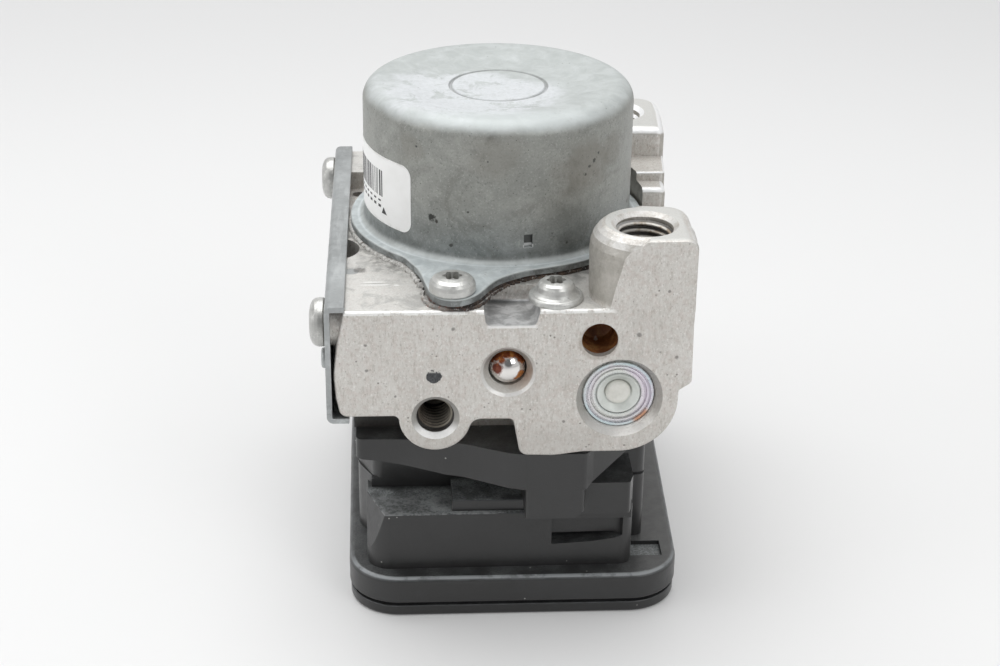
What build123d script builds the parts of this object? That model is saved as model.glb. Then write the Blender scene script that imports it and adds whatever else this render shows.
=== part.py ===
from build123d import *
import math
import os

# Anti-lock brake modulator: valve block, pump motor and control unit.
# Millimetres. Z up. X to the right and Y to the back, seen from the front face.
# Origin: on the motor axis, on the underside of the control-unit cover.

# ---------------------------------------------------------------- driving sizes
Z_TOP = 77.5            # top face of the valve block
Z_INT = 43.0            # joint between valve block and control housing
Z_FLANGE = 10.0         # top of the housing flange
Z_SEAM_HI = 3.55        # underside of the housing flange
Z_SEAM_LO = 2.75        # top edge of the cover
Y_FRONT = -48.27        # front face of the block
Y_REAR = 46.5           # rear face of the block
CAN_R = 30.0            # motor can
CAN_H = 32.4            # middle of the can's top above the block
CAN_RIM = 33.75         # its raised rim, above the block
CAN_T = 1.5
FLANGE_R = 33.2         # can flange
PUMP_Z = Z_TOP - 14.0   # pump axis height
ECC = 0.9               # eccentric throw
STROKE = 2 * ECC
VALVE_X = (-22.0, -7.5, 7.5, 22.0)
VALVE_Y = 17.0
PORT_R = 6.0            # M12 port thread, major radius
OUT_R = 5.0             # M10 port thread, major radius
M8_R = 4.0
M5_R = 2.5
M5_HOLE = 2.52
ACC_F = (23.7, Z_TOP - 20.7)    # accumulator bore, front (x, z)
ACC_R = (-23.7, Z_TOP - 20.7)   # accumulator bore, rear
ACC_BORE = 8.6

os.makedirs("parts", exist_ok=True)


# ---------------------------------------------------------------- helpers
def cyl(r, a, b, h):
    """Cylinder of radius r from point a, along direction b, of length h."""
    return Solid.make_cylinder(r, h, Plane(origin=a, z_dir=b))


def cone(r1, r2, a, b, h):
    return Solid.make_cone(r1, r2, h, Plane(origin=a, z_dir=b))


def box(x0, x1, y0, y1, z0, z1):
    return Pos((x0 + x1) / 2, (y0 + y1) / 2, (z0 + z1) / 2) * Box(x1 - x0, y1 - y0, z1 - z0)


def rounded_edges(pts):
    """Closed outline of 2-D corners (u, v, r): straight runs joined by arcs."""
    n = len(pts)
    arcs = []
    for i in range(n):
        p0, p1, p2 = pts[i - 1], pts[i], pts[(i + 1) % n]
        a = (p0[0] - p1[0], p0[1] - p1[1])
        b = (p2[0] - p1[0], p2[1] - p1[1])
        la, lb = math.hypot(*a), math.hypot(*b)
        a = (a[0] / la, a[1] / la)
        b = (b[0] / lb, b[1] / lb)
        cosang = max(-1, min(1, a[0] * b[0] + a[1] * b[1]))
        ang = math.acos(cosang)
        r = p1[2]
        if r <= 0 or math.pi - ang < 1e-3:
            arcs.append((p1[:2], None, p1[:2]))
            continue
        t = r / math.tan(ang / 2)
        s = (p1[0] + a[0] * t, p1[1] + a[1] * t)
        e = (p1[0] + b[0] * t, p1[1] + b[1] * t)
        bis = (a[0] + b[0], a[1] + b[1])
        lbis = math.hypot(*bis)
        d = r / math.sin(ang / 2) - r
        m = (p1[0] + bis[0] / lbis * d, p1[1] + bis[1] / lbis * d)
        arcs.append((s, m, e))
    return arcs


def outline_face(pts, lift):
    """Face of a rounded outline; lift maps (u, v) to a point in space."""
    arcs = rounded_edges(pts)
    edges = []
    n = len(arcs)
    for i in range(n):
        s, m, e = arcs[i]
        if m is not None:
            edges.append(Edge.make_three_point_arc(lift(s), lift(m), lift(e)))
        nxt = arcs[(i + 1) % n][0]
        if math.hypot(nxt[0] - e[0], nxt[1] - e[1]) > 1e-4:
            edges.append(Edge.make_line(lift(e), lift(nxt)))
    return Face(Wire(edges))


def prism_xz(pts, y0, y1):
    f = outline_face(pts, lambda p: Vector(p[0], y0, p[1]))
    return extrude(f, amount=y1 - y0, dir=(0, 1, 0))


def prism_xy(pts, z0, z1):
    f = outline_face(pts, lambda p: Vector(p[0], p[1], z0))
    return extrude(f, amount=z1 - z0, dir=(0, 0, 1))


def prism_yz(pts, x0, x1):
    f = outline_face(pts, lambda p: Vector(x0, p[0], p[1]))
    return extrude(f, amount=x1 - x0, dir=(1, 0, 0))


def rrect(x0, x1, y0, y1, z0, z1, r):
    return prism_xy([(x0, y0, r), (x1, y0, r), (x1, y1, r), (x0, y1, r)], z0, z1)


def revolve_z(profile, x=0.0, y=0.0):
    """Solid of revolution about a vertical axis; profile is (r, z) corners."""
    w = Wire.make_polygon([Vector(r, 0, z) for r, z in profile], close=True)
    s = revolve(Face(w), axis=Axis.Z, revolution_arc=360)
    return Pos(x, y, 0) * s


def ring(ro, ri, z0, z1, x=0.0, y=0.0):
    return revolve_z([(ri, z0), (ro, z0), (ro, z1), (ri, z1)], x, y)


def one(s):
    """The single solid of a shape, so that each node holds plain solids."""
    sol = s.solids()
    return max(sol, key=lambda q: q.volume)


def try_fillet(shape, edges, r, tag):
    edges = list(edges)
    if not edges:
        print("fillet", tag, "no edges")
        return shape
    for rr in (r, r * 0.8, r * 0.6, r * 0.4):
        try:
            s = shape.fillet(rr, edges)
            if s.is_valid and s.volume > 0:
                if rr != r:
                    print("fillet", tag, "made at", round(rr, 2))
                return s
        except Exception:
            pass
    print("fillet", tag, "skipped")
    return shape


def near(e, axis, val, tol=0.02):
    bb = e.bounding_box()
    lo = getattr(bb.min, axis)
    hi = getattr(bb.max, axis)
    return abs(lo - val) < tol and abs(hi - val) < tol


def save(name, shapes):
    if not isinstance(shapes, (list, tuple)):
        shapes = [shapes]
    sol = []
    for s in shapes:
        sol += list(s.solids())
    c = Compound(sol)
    export_step(c, "parts/" + name + ".step")
    print("%-26s %2d solids %10.1f mm3" % (name, len(sol), sum(s.volume for s in sol)))


def spring(r, wire, length, turns):
    """Round-wire coil standing on z = 0, about the Z axis, closed height length."""
    h = length - 2 * wire
    path = Helix(pitch=h / turns, height=h, radius=r)
    p0 = path @ 0
    t0 = path % 0
    prof = Plane(origin=p0, z_dir=t0) * Circle(wire)
    s = sweep(prof, path=path)
    return Pos(0, 0, wire) * s


# ---------------------------------------------------------------- valve block
def zt(v):
    return Z_TOP + v


front_pts = [(-33.9, 0, 0.4), (-35.5, -7.8, 12), (-36.3, -14.7, 12), (-35.9, -20.0, 6), (-35.0, -24.4, 1.8),
             (-15.0, -24.4, 0), (-15.0, -25.3, 0), (1.3, -25.4, 1.3),
             (2.9, -34.2, 2.0), (10.3, -34.4, 10), (16.2, -33.6, 6), (36.2, -33.6, 12.3), (36.2, -19.2, 0.9),
             (38.9, -17.4, 0.9), (38.6, 0, 0)]
rear_pts = [(-33.9, 0, 0.4), (-35.2, -4.0, 3), (-35.2, -23.4, 0.5), (-32.6, -23.4, 0.5), (-32.6, -34.5, 0),
            (36.2, -34.5, 2.5), (36.2, -19.2, 0.9), (38.9, -17.4, 0.9), (38.6, 0, 0)]


# ear outline: polar corners round the flange, taken from the front ear, then
# repeated at the back a little shorter
ear = [(-22.0, -24.87), (-20.45, -27.6), (-18.7, -31.5), (-17.5, -36.5), (-16.6, -41.8), (-14.9, -46.3),
       (-11.6, -48.15), (-7.9, -46.9), (-4.9, -43.05), (-1.2, -37.3), (3.25, -34.1), (7.9, -32.25)]


def ear_points(turn, k):
    out = []
    for x, y in ear:
        r = math.hypot(x, y)
        a = math.atan2(y, x) + turn
        r = FLANGE_R + (r - FLANGE_R) * k
        out.append((r * math.cos(a), r * math.sin(a)))
    return out


def flange_face(z, grow=0.0):
    f = ear_points(0, 1.0)
    g = ear_points(math.pi, 0.8)
    if grow:
        f = [(x * (1 + grow / math.hypot(x, y)), y * (1 + grow / math.hypot(x, y))) for x, y in f]
        g = [(x * (1 + grow / math.hypot(x, y)), y * (1 + grow / math.hypot(x, y))) for x, y in g]
    R = FLANGE_R + grow

    def tang(p, sgn=1):
        a = math.atan2(p[1], p[0])
        return Vector(-math.sin(a), math.cos(a), 0)

    e1 = Edge.make_spline([Vector(x, y, z) for x, y in f], tangents=[tang(f[0]), tang(f[-1])])
    e2 = Edge.make_spline([Vector(x, y, z) for x, y in g], tangents=[tang(g[0]), tang(g[-1])])
    right = Edge.make_three_point_arc(Vector(*f[-1], z), Vector(R, 0, z), Vector(*g[0], z))
    left = Edge.make_three_point_arc(Vector(*g[-1], z), Vector(-R, 0, z), Vector(*f[0], z))
    return Face(Wire([e1, right, e2, left]))


def build_block():
    lift = [(u, zt(v), r) for u, v, r in front_pts]
    front = one(prism_xz(lift, Y_FRONT, -33.9))
    front = one(front + cyl(7.65, (-15.15, Y_FRONT, zt(-25.0)), (0, 1, 0), -33.9 - Y_FRONT))
    for xe, rr in ((-22.8, 1.2), (-7.55, 2.4)):
        es = []
        for e in front.edges():
            bb = e.bounding_box()
            if bb.max.Y - bb.min.Y > 10 and abs(bb.center().X - xe) < 0.5 and abs(bb.center().Z - zt(-25)) < 1.2:
                es.append(e)
        front = try_fillet(front, es, rr, "lobe root")
    front = try_fillet(one(front), [e for e in one(front).edges() if near(e, "Y", Y_FRONT)], 0.7, "front rim")
    rear = one(prism_xz([(u, zt(v), r) for u, v, r in rear_pts], -34.0, Y_REAR))
    rear = try_fillet(rear, [e for e in rear.edges() if near(e, "Y", Y_REAR)], 0.7, "rear rim")
    b = front + rear
    # left pads that carry the side bracket
    for y in (-41.7, 41.0):
        b = b + cyl(4.9, (-36.75, y, zt(-5.1)), (1, 0, 0), 6)
    # front right port tower, flush with the front and the right side
    px, py = 28.6, -38.9
    round_part = revolve_z([(0, zt(9.0)), (11.3, zt(9.0)), (11.3, zt(9.8)), (11.1, zt(11.4)),
                            (10.6, zt(12.9)), (9.8, zt(14.1)), (8.9, zt(14.9)), (8.2, zt(15.3)), (0, zt(15.3))], px, py + 0.55)
    foot = Solid.make_loft([Wire.make_circle(11.3, Plane(origin=(px, py - 1.6, zt(-3)))),
                            Wire.make_circle(11.3, Plane(origin=(px, py + 0.55, zt(9.4))))])
    round_part = one(round_part + foot)
    square_part = one(prism_xy([(27.0, -27.2, 1.0), (27.0, -49.5, 0.2), (38.75, -49.5, 2.2), (38.75, -29.2, 5.2),
                                (34.0, -28.0, 4)], zt(-3), zt(15.3)))
    square_part = try_fillet(square_part, [e for e in square_part.edges() if near(e, "Z", zt(15.3))
                                           and e.bounding_box().max.X > 28], 2.4, "tower top")
    tower = one(round_part + square_part)
    tower = one(tower & box(0, 60, Y_FRONT, 60, zt(-4), zt(20)))
    b = b + tower
    # far right port tower with its lower shoulders
    far = one(prism_xy([(18.6, 20.0, 9), (40.25, 18.4, 1.6), (41.1, 31.0, 20), (41.0, 42.3, 5.6), (18.6, 42.3, 9)],
                       zt(-3), zt(15.3)))
    far = try_fillet(far, [e for e in far.edges() if near(e, "Z", zt(15.3))], 2.2, "far tower top")
    mid = one(prism_xy([(28.5, 8.0, 0.6), (39.2, 8.0, 0.8), (40.3, 20.5, 0), (28.5, 20.5, 0)], zt(-3), zt(8.5)))
    mid = try_fillet(mid, [e for e in mid.edges() if near(e, "Z", zt(8.5))], 0.6, "mid shoulder")
    low = one(prism_xy([(30.0, 2.6, 1.5), (38.8, 2.6, 1.2), (39.2, 10.0, 0), (30.0, 10.0, 0)], zt(-3), zt(6.5)))
    low = try_fillet(low, [e for e in low.edges() if near(e, "Z", zt(6.5))], 1.6, "low shoulder")
    side = prism_xy([(33.0, 1.0, 0), (38.7, 2.2, 0.6), (40.3, 18.4, 1.6), (41.1, 31.0, 20), (41.0, 42.3, 5.6),
                     (33.0, 42.3, 2)], zt(-17.3), zt(2))
    b = b + far + mid + low + side
    # can clearance through the shoulders
    b = b - (cyl(FLANGE_R + 0.4, (0, 0, zt(0)), (0, 0, 1), 40))
    b = b - one(extrude(flange_face(zt(0), 0.5), amount=20, dir=(0, 0, 1)))
    # left rear step in the top face, with a small blind hole
    b = b - one(prism_xy([(-40, 9.5, 0), (-28.0, 9.5, 2), (-28.0, 31.5, 2), (-40, 31.5, 0)], zt(-4.2), zt(1)))
    b = b - cyl(1.5, (-31.9, 27.6, zt(-4.0)), (0, 0, -1), 5)
    b = b - cyl(6.2, (-37.2, -15.2, zt(-5.5)), (0, 0, 1), 6.5)
    # scooped groove in the front top edge
    groove = one(prism_xz([(-5.3, zt(1.5), 0), (-4.6, zt(-3.5), 1.3), (5.7, zt(-3.5), 1.3), (7.1, zt(1.5), 0)],
                          Y_FRONT - 2, -35.5))
    groove = try_fillet(groove, [e for e in groove.edges() if near(e, "Y", -35.5)], 1.2, "groove end")
    b = b - groove
    # motor recess, pump cavity, bearing seat
    b = b - cyl(27.0, (0, 0, zt(1)), (0, 0, -1), 5.0)
    b = b - cyl(13.0, (0, 0, zt(0)), (0, 0, -1), 20.0)
    b = b - cyl(8.02, (0, 0, zt(-19)), (0, 0, -1), 5.3)
    b = b - cyl(5.0, (0, 0, zt(-24)), (0, 0, -1), 2.5)
    # pump bores, one each side
    b = b - cyl(6.4, (0, 0, PUMP_Z), (1, 0, 0), 60)
    b = b - cyl(6.4, (0, 0, PUMP_Z), (-1, 0, 0), 60)
    # accumulator bores, front and rear, each with a wide mouth
    x, z = ACC_F
    b = b - cone(9.85, 7.75, (x, Y_FRONT - 1, z), (0, 1, 0), 3.2)
    b = b - cyl(7.75, (x, Y_FRONT, z), (0, 1, 0), 3.0)
    b = b - cyl(ACC_BORE, (x, Y_FRONT + 2.7, z), (0, 1, 0), -25.5 - Y_FRONT - 2.7)
    x, z = ACC_R
    b = b - cone(9.85, 7.75, (x, Y_REAR + 1, z), (0, -1, 0), 3.2)
    b = b - cyl(7.75, (x, Y_REAR, z), (0, -1, 0), 3.0)
    b = b - cyl(ACC_BORE, (x, Y_REAR - 2.7, z), (0, -1, 0), Y_REAR - 23.73 - 2.7)
    # ball seats of the drilled channels: front, rear, right side, left side
    for (o, d, deep) in BALLS:
        o = Vector(*o)
        d = Vector(*d)
        seat = one(cone(7.07, 5.2, tuple(o + d * 1.0), tuple(d * -1), 1.6) + cone(5.25, 4.1, tuple(o - d * 0.55), tuple(d * -1), 1.6)
                   + cyl(4.07, tuple(o), tuple(d * -1), deep + 3.9) + cyl(2.2, tuple(o), tuple(d * -1), 16))
        b = one(b) - seat
    # threaded mounting hole in the front lobe
    b = b - cyl(M8_R, (-15.1, Y_FRONT - 1, zt(-24.8)), (0, 1, 0), 14.0)
    b = b - cone(5.15, M8_R - 0.2, (-15.1, Y_FRONT - 0.01, zt(-24.8)), (0, 1, 0), 1.35)
    b = b - cone(M8_R, 0.2, (-15.1, Y_FRONT + 12.99, zt(-24.8)), (0, 1, 0), 2.2)
    # plain blind hole, upper right of the front face
    b = b - cyl(3.8, (19.1, Y_FRONT - 1, zt(-6.95)), (0, 1, 0), 10.0)
    b = b - cone(3.8, 0.2, (19.1, Y_FRONT + 8.99, zt(-6.95)), (0, 1, 0), 2.4)
    # tower ports
    for (x, y) in ((28.6, -39.1), (29.9, 31.2)):
        b = b - cyl(PORT_R, (x, y, zt(16)), (0, 0, -1), 14.7)
        b = b - cone(7.05, PORT_R - 0.1, (x, y, zt(15.31)), (0, 0, -1), 1.0)
        b = b - cyl(1.9, (x, y, zt(5)), (0, 0, -1), 9)
    # rear ports
    for (x, v) in REAR_PORTS:
        b = b - cyl(OUT_R, (x, Y_REAR + 1, zt(v)), (0, -1, 0), 13.0)
        b = b - cone(6.0, OUT_R - 0.1, (x, Y_REAR + 0.01, zt(v)), (0, -1, 0), 1.1)
        b = b - cyl(1.6, (x, Y_REAR, zt(v)), (0, -1, 0), 17)
    # screw holes
    for (x, y) in CAN_SCREWS:
        b = b - cyl(M5_HOLE, (x, y, zt(1)), (0, 0, -1), 8.7)
    for (x, y) in COLLAR_SCREWS:
        b = b - cyl(2.7, (x, y, zt(1)), (0, 0, -1), 40)
    for y in (-41.7, 41.0):
        b = b - cyl(M5_HOLE, (-40, y, zt(-5.1)), (1, 0, 0), 40 - 26.5)
    # valve bores from below
    for x in VALVE_X:
        for y in (-VALVE_Y, VALVE_Y):
            b = b - cyl(4.5, (x, y, Z_INT - 1), (0, 0, 1), 1 + 13.0)
            b = b - cyl(1.5, (x, y, Z_INT + 12), (0, 0, 1), 8 if abs(x) > 10 else 3)
    return one(b)


BALLS = [((0.1, Y_FRONT, zt(-14.2)), (0, -1, 0), 4.2),
         ((29.0, Y_REAR, zt(-27.2)), (0, 1, 0), 4.6),
         ((38.7, -14.0, zt(-9.5)), (1, 0, 0), 4.6),
         ((38.7, -28.5, zt(-9.0)), (1, 0, 0), 4.6)]
REAR_PORTS = [(1.0, -14.0), (15.0, -14.0), (29.0, -13.5), (15.0, -27.8)]
CAN_SCREWS = [(-11.4, -43.2), (10.85, 41.1)]
COLLAR_SCREWS = [(10.2, -42.2), (-10.0, 41.3)]

block = build_block()
save("valve_block", block)

# ---------------------------------------------------------------- motor can
def build_can():
    zf = Z_TOP + 1.0
    plate = one(extrude(flange_face(zf), amount=CAN_T, dir=(0, 0, 1)))
    plate = try_fillet(plate, [e for e in plate.edges() if near(e, "Z", zf + CAN_T)], 0.45, "flange rim")
    zt0 = zf + CAN_T
    top = Z_TOP + CAN_H
    R = CAN_R

    def arc(cx, cz, r, a0, a1, n=8):
        return [(cx + r * math.cos(math.radians(a0 + (a1 - a0) * i / n)),
                 cz + r * math.sin(math.radians(a0 + (a1 - a0) * i / n))) for i in range(n + 1)]

    rs = 3.9
    rim = Z_TOP + CAN_RIM
    edges = []
    P = lambda r, z: Vector(r, 0, z)

    def line(a, b_):
        edges.append(Edge.make_line(P(*a), P(*b_)))

    def tarc(a, m, b_):
        edges.append(Edge.make_three_point_arc(P(*a), P(*m), P(*b_)))

    c45 = math.cos(math.radians(45))
    # outside, from the axis at the top, round the shoulder, down to the step and the plate
    line((0, top), (10.1, top))
    line((10.1, top), (10.45, top - 0.35))
    line((10.45, top - 0.35), (10.75, top - 0.35))
    line((10.75, top - 0.35), (11.1, top))
    line((11.1, top), (12.5, top))

    def dish(r0, z0, r1, z1):
        edges.append(Edge.make_spline([P(r0, z0), P((r0 + r1) / 2, (z0 + z1) / 2), P(r1, z1)],
                                      tangents=[Vector(math.copysign(1, r1 - r0), 0, 0)] * 2))

    dish(12.5, top, R - rs, rim)
    tarc((R - rs, rim), (R - rs + rs * c45, rim - rs + rs * c45), (R, rim - rs))
    line((R, rim - rs), (R, zt0 + 1.7))
    tarc((R, zt0 + 1.7), (R + 1.7 - 1.7 * c45, zt0 + 1.7 - 1.7 * c45), (R + 1.7, zt0))
    line((R + 1.7, zt0), (32.0, zt0 - 0.3))
    line((32.0, zt0 - 0.3), (32.0, zf))
    # inside, back to the axis, with the pressed bearing seat
    line((32.0, zf), (R - CAN_T, zf))
    line((R - CAN_T, zf), (R - CAN_T, rim - rs))
    ri = rs - CAN_T
    tarc((R - CAN_T, rim - rs), (R - rs + ri * c45, rim - rs + ri * c45), (R - rs, rim - CAN_T))
    dish(R - rs, rim - CAN_T, 12.5, top - CAN_T)
    line((12.5, top - CAN_T), (9.4, top - CAN_T))
    line((9.4, top - CAN_T), (9.4, top - CAN_T - 6.2))
    line((9.4, top - CAN_T - 6.2), (8.05, top - CAN_T - 6.2))
    line((8.05, top - CAN_T - 6.2), (8.05, top - CAN_T))
    line((8.05, top - CAN_T), (0, top - CAN_T))
    line((0, top - CAN_T), (0, top))
    pot = revolve(Face(Wire(edges)), axis=Axis.Z, revolution_arc=360)
    plate = plate - cyl(31.0, (0, 0, zf - 1), (0, 0, 1), 10)
    can = one(plate) + one(pot)
    for (x, y) in CAN_SCREWS:
        can = can - cyl(2.75, (x, y, zf - 1), (0, 0, 1), 6)
    # small pressed window mark on the front of the wall
    a = math.radians(-80.2)
    mark = Pos(CAN_R * math.cos(a), CAN_R * math.sin(a), Z_TOP + 7.5) * Rot(0, 0, math.degrees(a)) * Box(2.0, 1.9, 3.1)
    can = can - mark
    return one(can)


can = build_can()
save("motor_can", can)

gasket = one(extrude(flange_face(Z_TOP, -0.25), amount=1.0, dir=(0, 0, 1))) - cyl(28.6, (0, 0, Z_TOP - 1), (0, 0, 1), 4)
for (x, y) in CAN_SCREWS:
    gasket = gasket - cyl(2.75, (x, y, Z_TOP - 1), (0, 0, 1), 6)
save("motor_gasket", one(gasket))


# ---------------------------------------------------------------- screws
def six_lobe(z_hi, depth, r=2.0):
    """Six-lobe drive recess, opening upward at z_hi."""
    s = cyl(r * 0.80, (0, 0, z_hi - depth), (0, 0, 1), depth + 1)
    for i in range(6):
        a = math.radians(60 * i)
        s = s + cyl(r * 0.30, (r * 0.74 * math.cos(a), r * 0.74 * math.sin(a), z_hi - depth), (0, 0, 1), depth + 1)
    return s


def pan_screw(head_r, head_h, shank_r, shank_l, collar_r=0.0, collar_h=0.0, drive=2.0):
    """Pan-head screw standing on z = 0, its shank going down."""
    z0 = 0.0
    parts = cyl(shank_r, (0, 0, -shank_l), (0, 0, 1), shank_l + 0.3)
    parts = one(parts.solids()[0])
    if collar_h:
        col = one(cyl(collar_r, (0, 0, 0), (0, 0, 1), collar_h))
        col = try_fillet(col, [e for e in col.edges() if near(e, "Z", collar_h)], collar_h * 0.55, "collar")
        parts = one(parts + col)
        z0 = collar_h - 0.02
    foot = [(head_r - 0.25, z0), (head_r, z0 + 0.35)]
    if collar_h:
        foot = [(head_r + 0.95, z0), (head_r + 0.5, z0 + 0.35), (head_r + 0.15, z0 + 0.8)]
    prof = [(0, z0)] + foot + [(head_r, z0 + head_h * 0.42),
            (head_r * 0.965, z0 + head_h * 0.62), (head_r * 0.87, z0 + head_h * 0.80),
            (head_r * 0.70, z0 + head_h * 0.93), (head_r * 0.50, z0 + head_h * 0.99), (0, z0 + head_h)]
    head = revolve_z(prof)
    s = one(parts + one(head)) - six_lobe(z0 + head_h, head_h * 0.62, drive)
    return one(s)


can_screw = pan_screw(4.85, 3.4, 2.5, 9.0)
Z_EAR = Z_TOP + 1.0 + CAN_T
save("motor_screws", [Pos(x, y, Z_EAR) * can_screw for (x, y) in CAN_SCREWS])
# long collar screws pass through the whole block into the housing's pillars
collar_screw = pan_screw(4.0, 3.0, 2.5, Z_TOP - 31.2, collar_r=5.75, collar_h=1.25)
save("collar_screws", [Pos(x, y, Z_TOP) * collar_screw for (x, y) in COLLAR_SCREWS])

# ---------------------------------------------------------------- side bracket
BT = 1.15
BX = -37.9
bz0 = zt(-25.75)
br = prism_xz([(BX, bz0, 1.5), (BX, zt(BT), 1.3), (-33.7, zt(BT), 0.2), (-33.7, zt(0.0), 0.2),
               (BX + BT, zt(0.0), 0.25), (BX + BT, bz0 + BT, 0.35), (-33.2, bz0 + BT, 0.2), (-33.2, bz0, 0.2)],
              Y_FRONT - 0.05, Y_REAR)
br = one(br)
for y in (-41.7, 41.0):
    br = br - cyl(2.75, (-45, y, zt(-5.1)), (1, 0, 0), 12)
# lightening slot in the web and two corner cuts, out of the photographed view
br = br - one(prism_yz([(-18, zt(-9), 4), (18, zt(-9), 4), (18, zt(-18), 4), (-18, zt(-18), 4)], -45, -36))
# pressed locating pips below the screws
for y in (-42.0, 41.2):
    pip = cyl(2.2, (BX + 0.3, y, zt(-13.3)), (-1, 0, 0), 1.3)
    pip = try_fillet(pip, [e for e in pip.edges() if near(e, "X", BX - 1.0)], 0.6, "pip")
    br = one(br) + pip
save("side_bracket", one(br))

bracket_screw = pan_screw(5.15, 3.3, 2.5, 9.0)
out = []
for y in (-41.7, 41.0):
    out.append(Pos(BX, y, zt(-5.1)) * Rot(0, -90, 0) * bracket_screw)
save("bracket_screws", out)

# ---------------------------------------------------------------- ball plugs
balls = []
for (o, d, deep) in BALLS:
    o = Vector(*o)
    d = Vector(*d)
    balls.append(Solid.make_sphere(4.05, angle1=-90, angle2=90).locate(Location(tuple(o - d * deep))))
save("front_ball_plug", balls[0])
save("channel_ball_plugs", balls[1:])


# ---------------------------------------------------------------- accumulators
def acc_plug():
    """Pressed plug: its outer face looks along +Z at z = 0."""
    s = revolve_z([(2.75, -0.95), (2.75, -4.0), (8.55, -4.0), (8.55, -0.4), (7.7, -0.4), (7.7, 0.1), (7.45, 0.4), (7.0, 0.4),
                   (6.85, -0.05), (6.55, -0.05), (6.45, 0.2), (6.1, 0.2), (5.95, -0.25), (5.7, -0.25), (5.6, 0.0), (4.9, 0.0),
                   (4.8, -0.2), (4.65, -0.2), (4.5, 0.1), (4.2, 0.05), (3.0, -0.85)])
    return one(s)


def acc_button():
    return one(revolve_z([(0, -3.9), (2.7, -3.9), (2.7, -0.75), (2.5, -0.35), (2.1, -0.12), (0, 0.0)]))


def acc_piston():
    """Cup piston; closed end at z = 0, open end at z = 6, groove for its ring."""
    return one(revolve_z([(0, 0), (8.15, 0), (8.53, 0.4), (8.53, 1.6), (7.25, 1.6), (7.25, 3.2), (8.53, 3.2),
                          (8.53, 6.0), (6.6, 6.0), (6.6, 4.0), (0, 4.0)]))


def ring_seal(rm, rw, z):
    t = Solid.make_torus(rm, rw, Plane(origin=(0, 0, z)))
    return t


front_face = Y_FRONT + 2.35
loc_plug_f = Location((ACC_F[0], front_face, ACC_F[1]), (90, 0, 0))
rear_face = Y_REAR - 2.35
loc_plug_r = Location((ACC_R[0], rear_face, ACC_R[1]), (-90, 0, 0))
save("accumulator_plugs", [loc_plug_f * acc_plug(), loc_plug_r * acc_plug()])
save("plug_buttons", [loc_plug_f * acc_button(), loc_plug_r * acc_button()])
# the closed end sits 0.3 from the bore's inner end
loc_pis_f = Location((ACC_F[0], -25.8, ACC_F[1]), (90, 0, 0))
y_pr = rear_face - (-25.8 - front_face)
loc_pis_r = Location((ACC_R[0], y_pr, ACC_R[1]), (-90, 0, 0))
save("accumulator_piston_front", loc_pis_f * acc_piston())
save("accumulator_piston_rear", loc_pis_r * acc_piston())
save("accumulator_ring_front", loc_pis_f * ring_seal(7.95, 0.62, 2.4))
save("accumulator_ring_rear", loc_pis_r * ring_seal(7.95, 0.62, 2.4))
d_f = (front_face + 4.0)
sp_len = (-25.8 - 4.0) - d_f
acc_spring = spring(5.4, 0.6, sp_len - 0.2, 5)
save("accumulator_springs", [Location((ACC_F[0], -25.8 - 4.1, ACC_F[1]), (90, 0, 0)) * acc_spring,
                             Location((ACC_R[0], y_pr + 4.1, ACC_R[1]), (-90, 0, 0)) * acc_spring])

# ---------------------------------------------------------------- label
LT = 0.09
# the label wraps the left of the can: from 229 degrees round to 150 degrees
a_lo, a_hi = 150.0, 229.0


def wrap_label():
    """Rounded rectangle wrapped round the can, as a thin shell."""
    r0, r1 = CAN_R + 0.02, CAN_R + 0.02 + LT
    rc = 2.6
    z0, z1 = Z_TOP + 6.3, Z_TOP + 21.7
    keep = ring(r1, r0, z0, z1)
    # a wedge keeps the angle; corners are rounded by radial tools
    a0, a1 = math.radians(a_lo), math.radians(a_hi)
    L = 90
    am = (a0 + a1) / 2
    wedge = Wire.make_polygon([Vector(0, 0, z0 - 1), Vector(L * math.cos(a0), L * math.sin(a0), z0 - 1),
                               Vector(L * math.cos(am), L * math.sin(am), z0 - 1),
                               Vector(L * math.cos(a1), L * math.sin(a1), z0 - 1)], close=True)
    w = extrude(Face(wedge), amount=z1 - z0 + 2, dir=(0, 0, 1))
    s = one(keep & w)
    for a, sa in ((a0, 1), (a1, -1)):
        for z, sz in ((z0, 1), (z1, -1)):
            ac = a + sa * rc / CAN_R
            zc = z + sz * rc
            # local frame: X radial, Y tangential, Z up
            cornerbox = Solid.make_box(8, rc + 1, rc + 1)
            pl = Plane(origin=(26 * math.cos(ac), 26 * math.sin(ac), zc),
                       x_dir=(math.cos(ac), math.sin(ac), 0), z_dir=(0, 0, 1))
            bx = cornerbox.moved(Location((0, 0 if sa < 0 else -(rc + 1), -(rc + 1) if sz > 0 else 0)))
            bx = bx.moved(Location(pl))
            rod = cyl(rc, (25 * math.cos(ac), 25 * math.sin(ac), zc), (math.cos(ac), math.sin(ac), 0), 12)
            s = one(s - (bx - rod))
    return s


save("label", wrap_label())

# ---------------------------------------------------------------- pump motor inside
shaft_top = Z_TOP + CAN_H - CAN_T - 1.4
rot = cyl(3.0, (0, 0, 54.0), (0, 0, 1), shaft_top - 54.0)
rot = rot + cyl(4.2, (0, 0, 68.2), (0, 0, 1), 36.0 - 3.2)
rot = rot + cyl(6.5, (0, ECC, 59.2), (0, 0, 1), 8.6)
rot = rot + cyl(4.2, (0, 0, 67.8), (0, 0, 1), 0.5)
rotor_shaft = one(rot)
save("rotor_shaft", rotor_shaft)
core = ring(19.4, 4.22, 85.0, 100.0)
coils_cut = []
for i in range(12):
    a = 30 * i
    slot = Rot(0, 0, a) * (Pos(14.2, 0, 92.5) * Box(7.0, 2.6, 20) + Pos(18.6, 0, 92.5) * Box(3.0, 1.4, 20))
    core = core - slot
save("rotor_core", one(core))
wind = ring(17.4, 10.6, 100.05, 103.0) + ring(17.4, 10.6, 82.6, 84.95)
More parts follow.
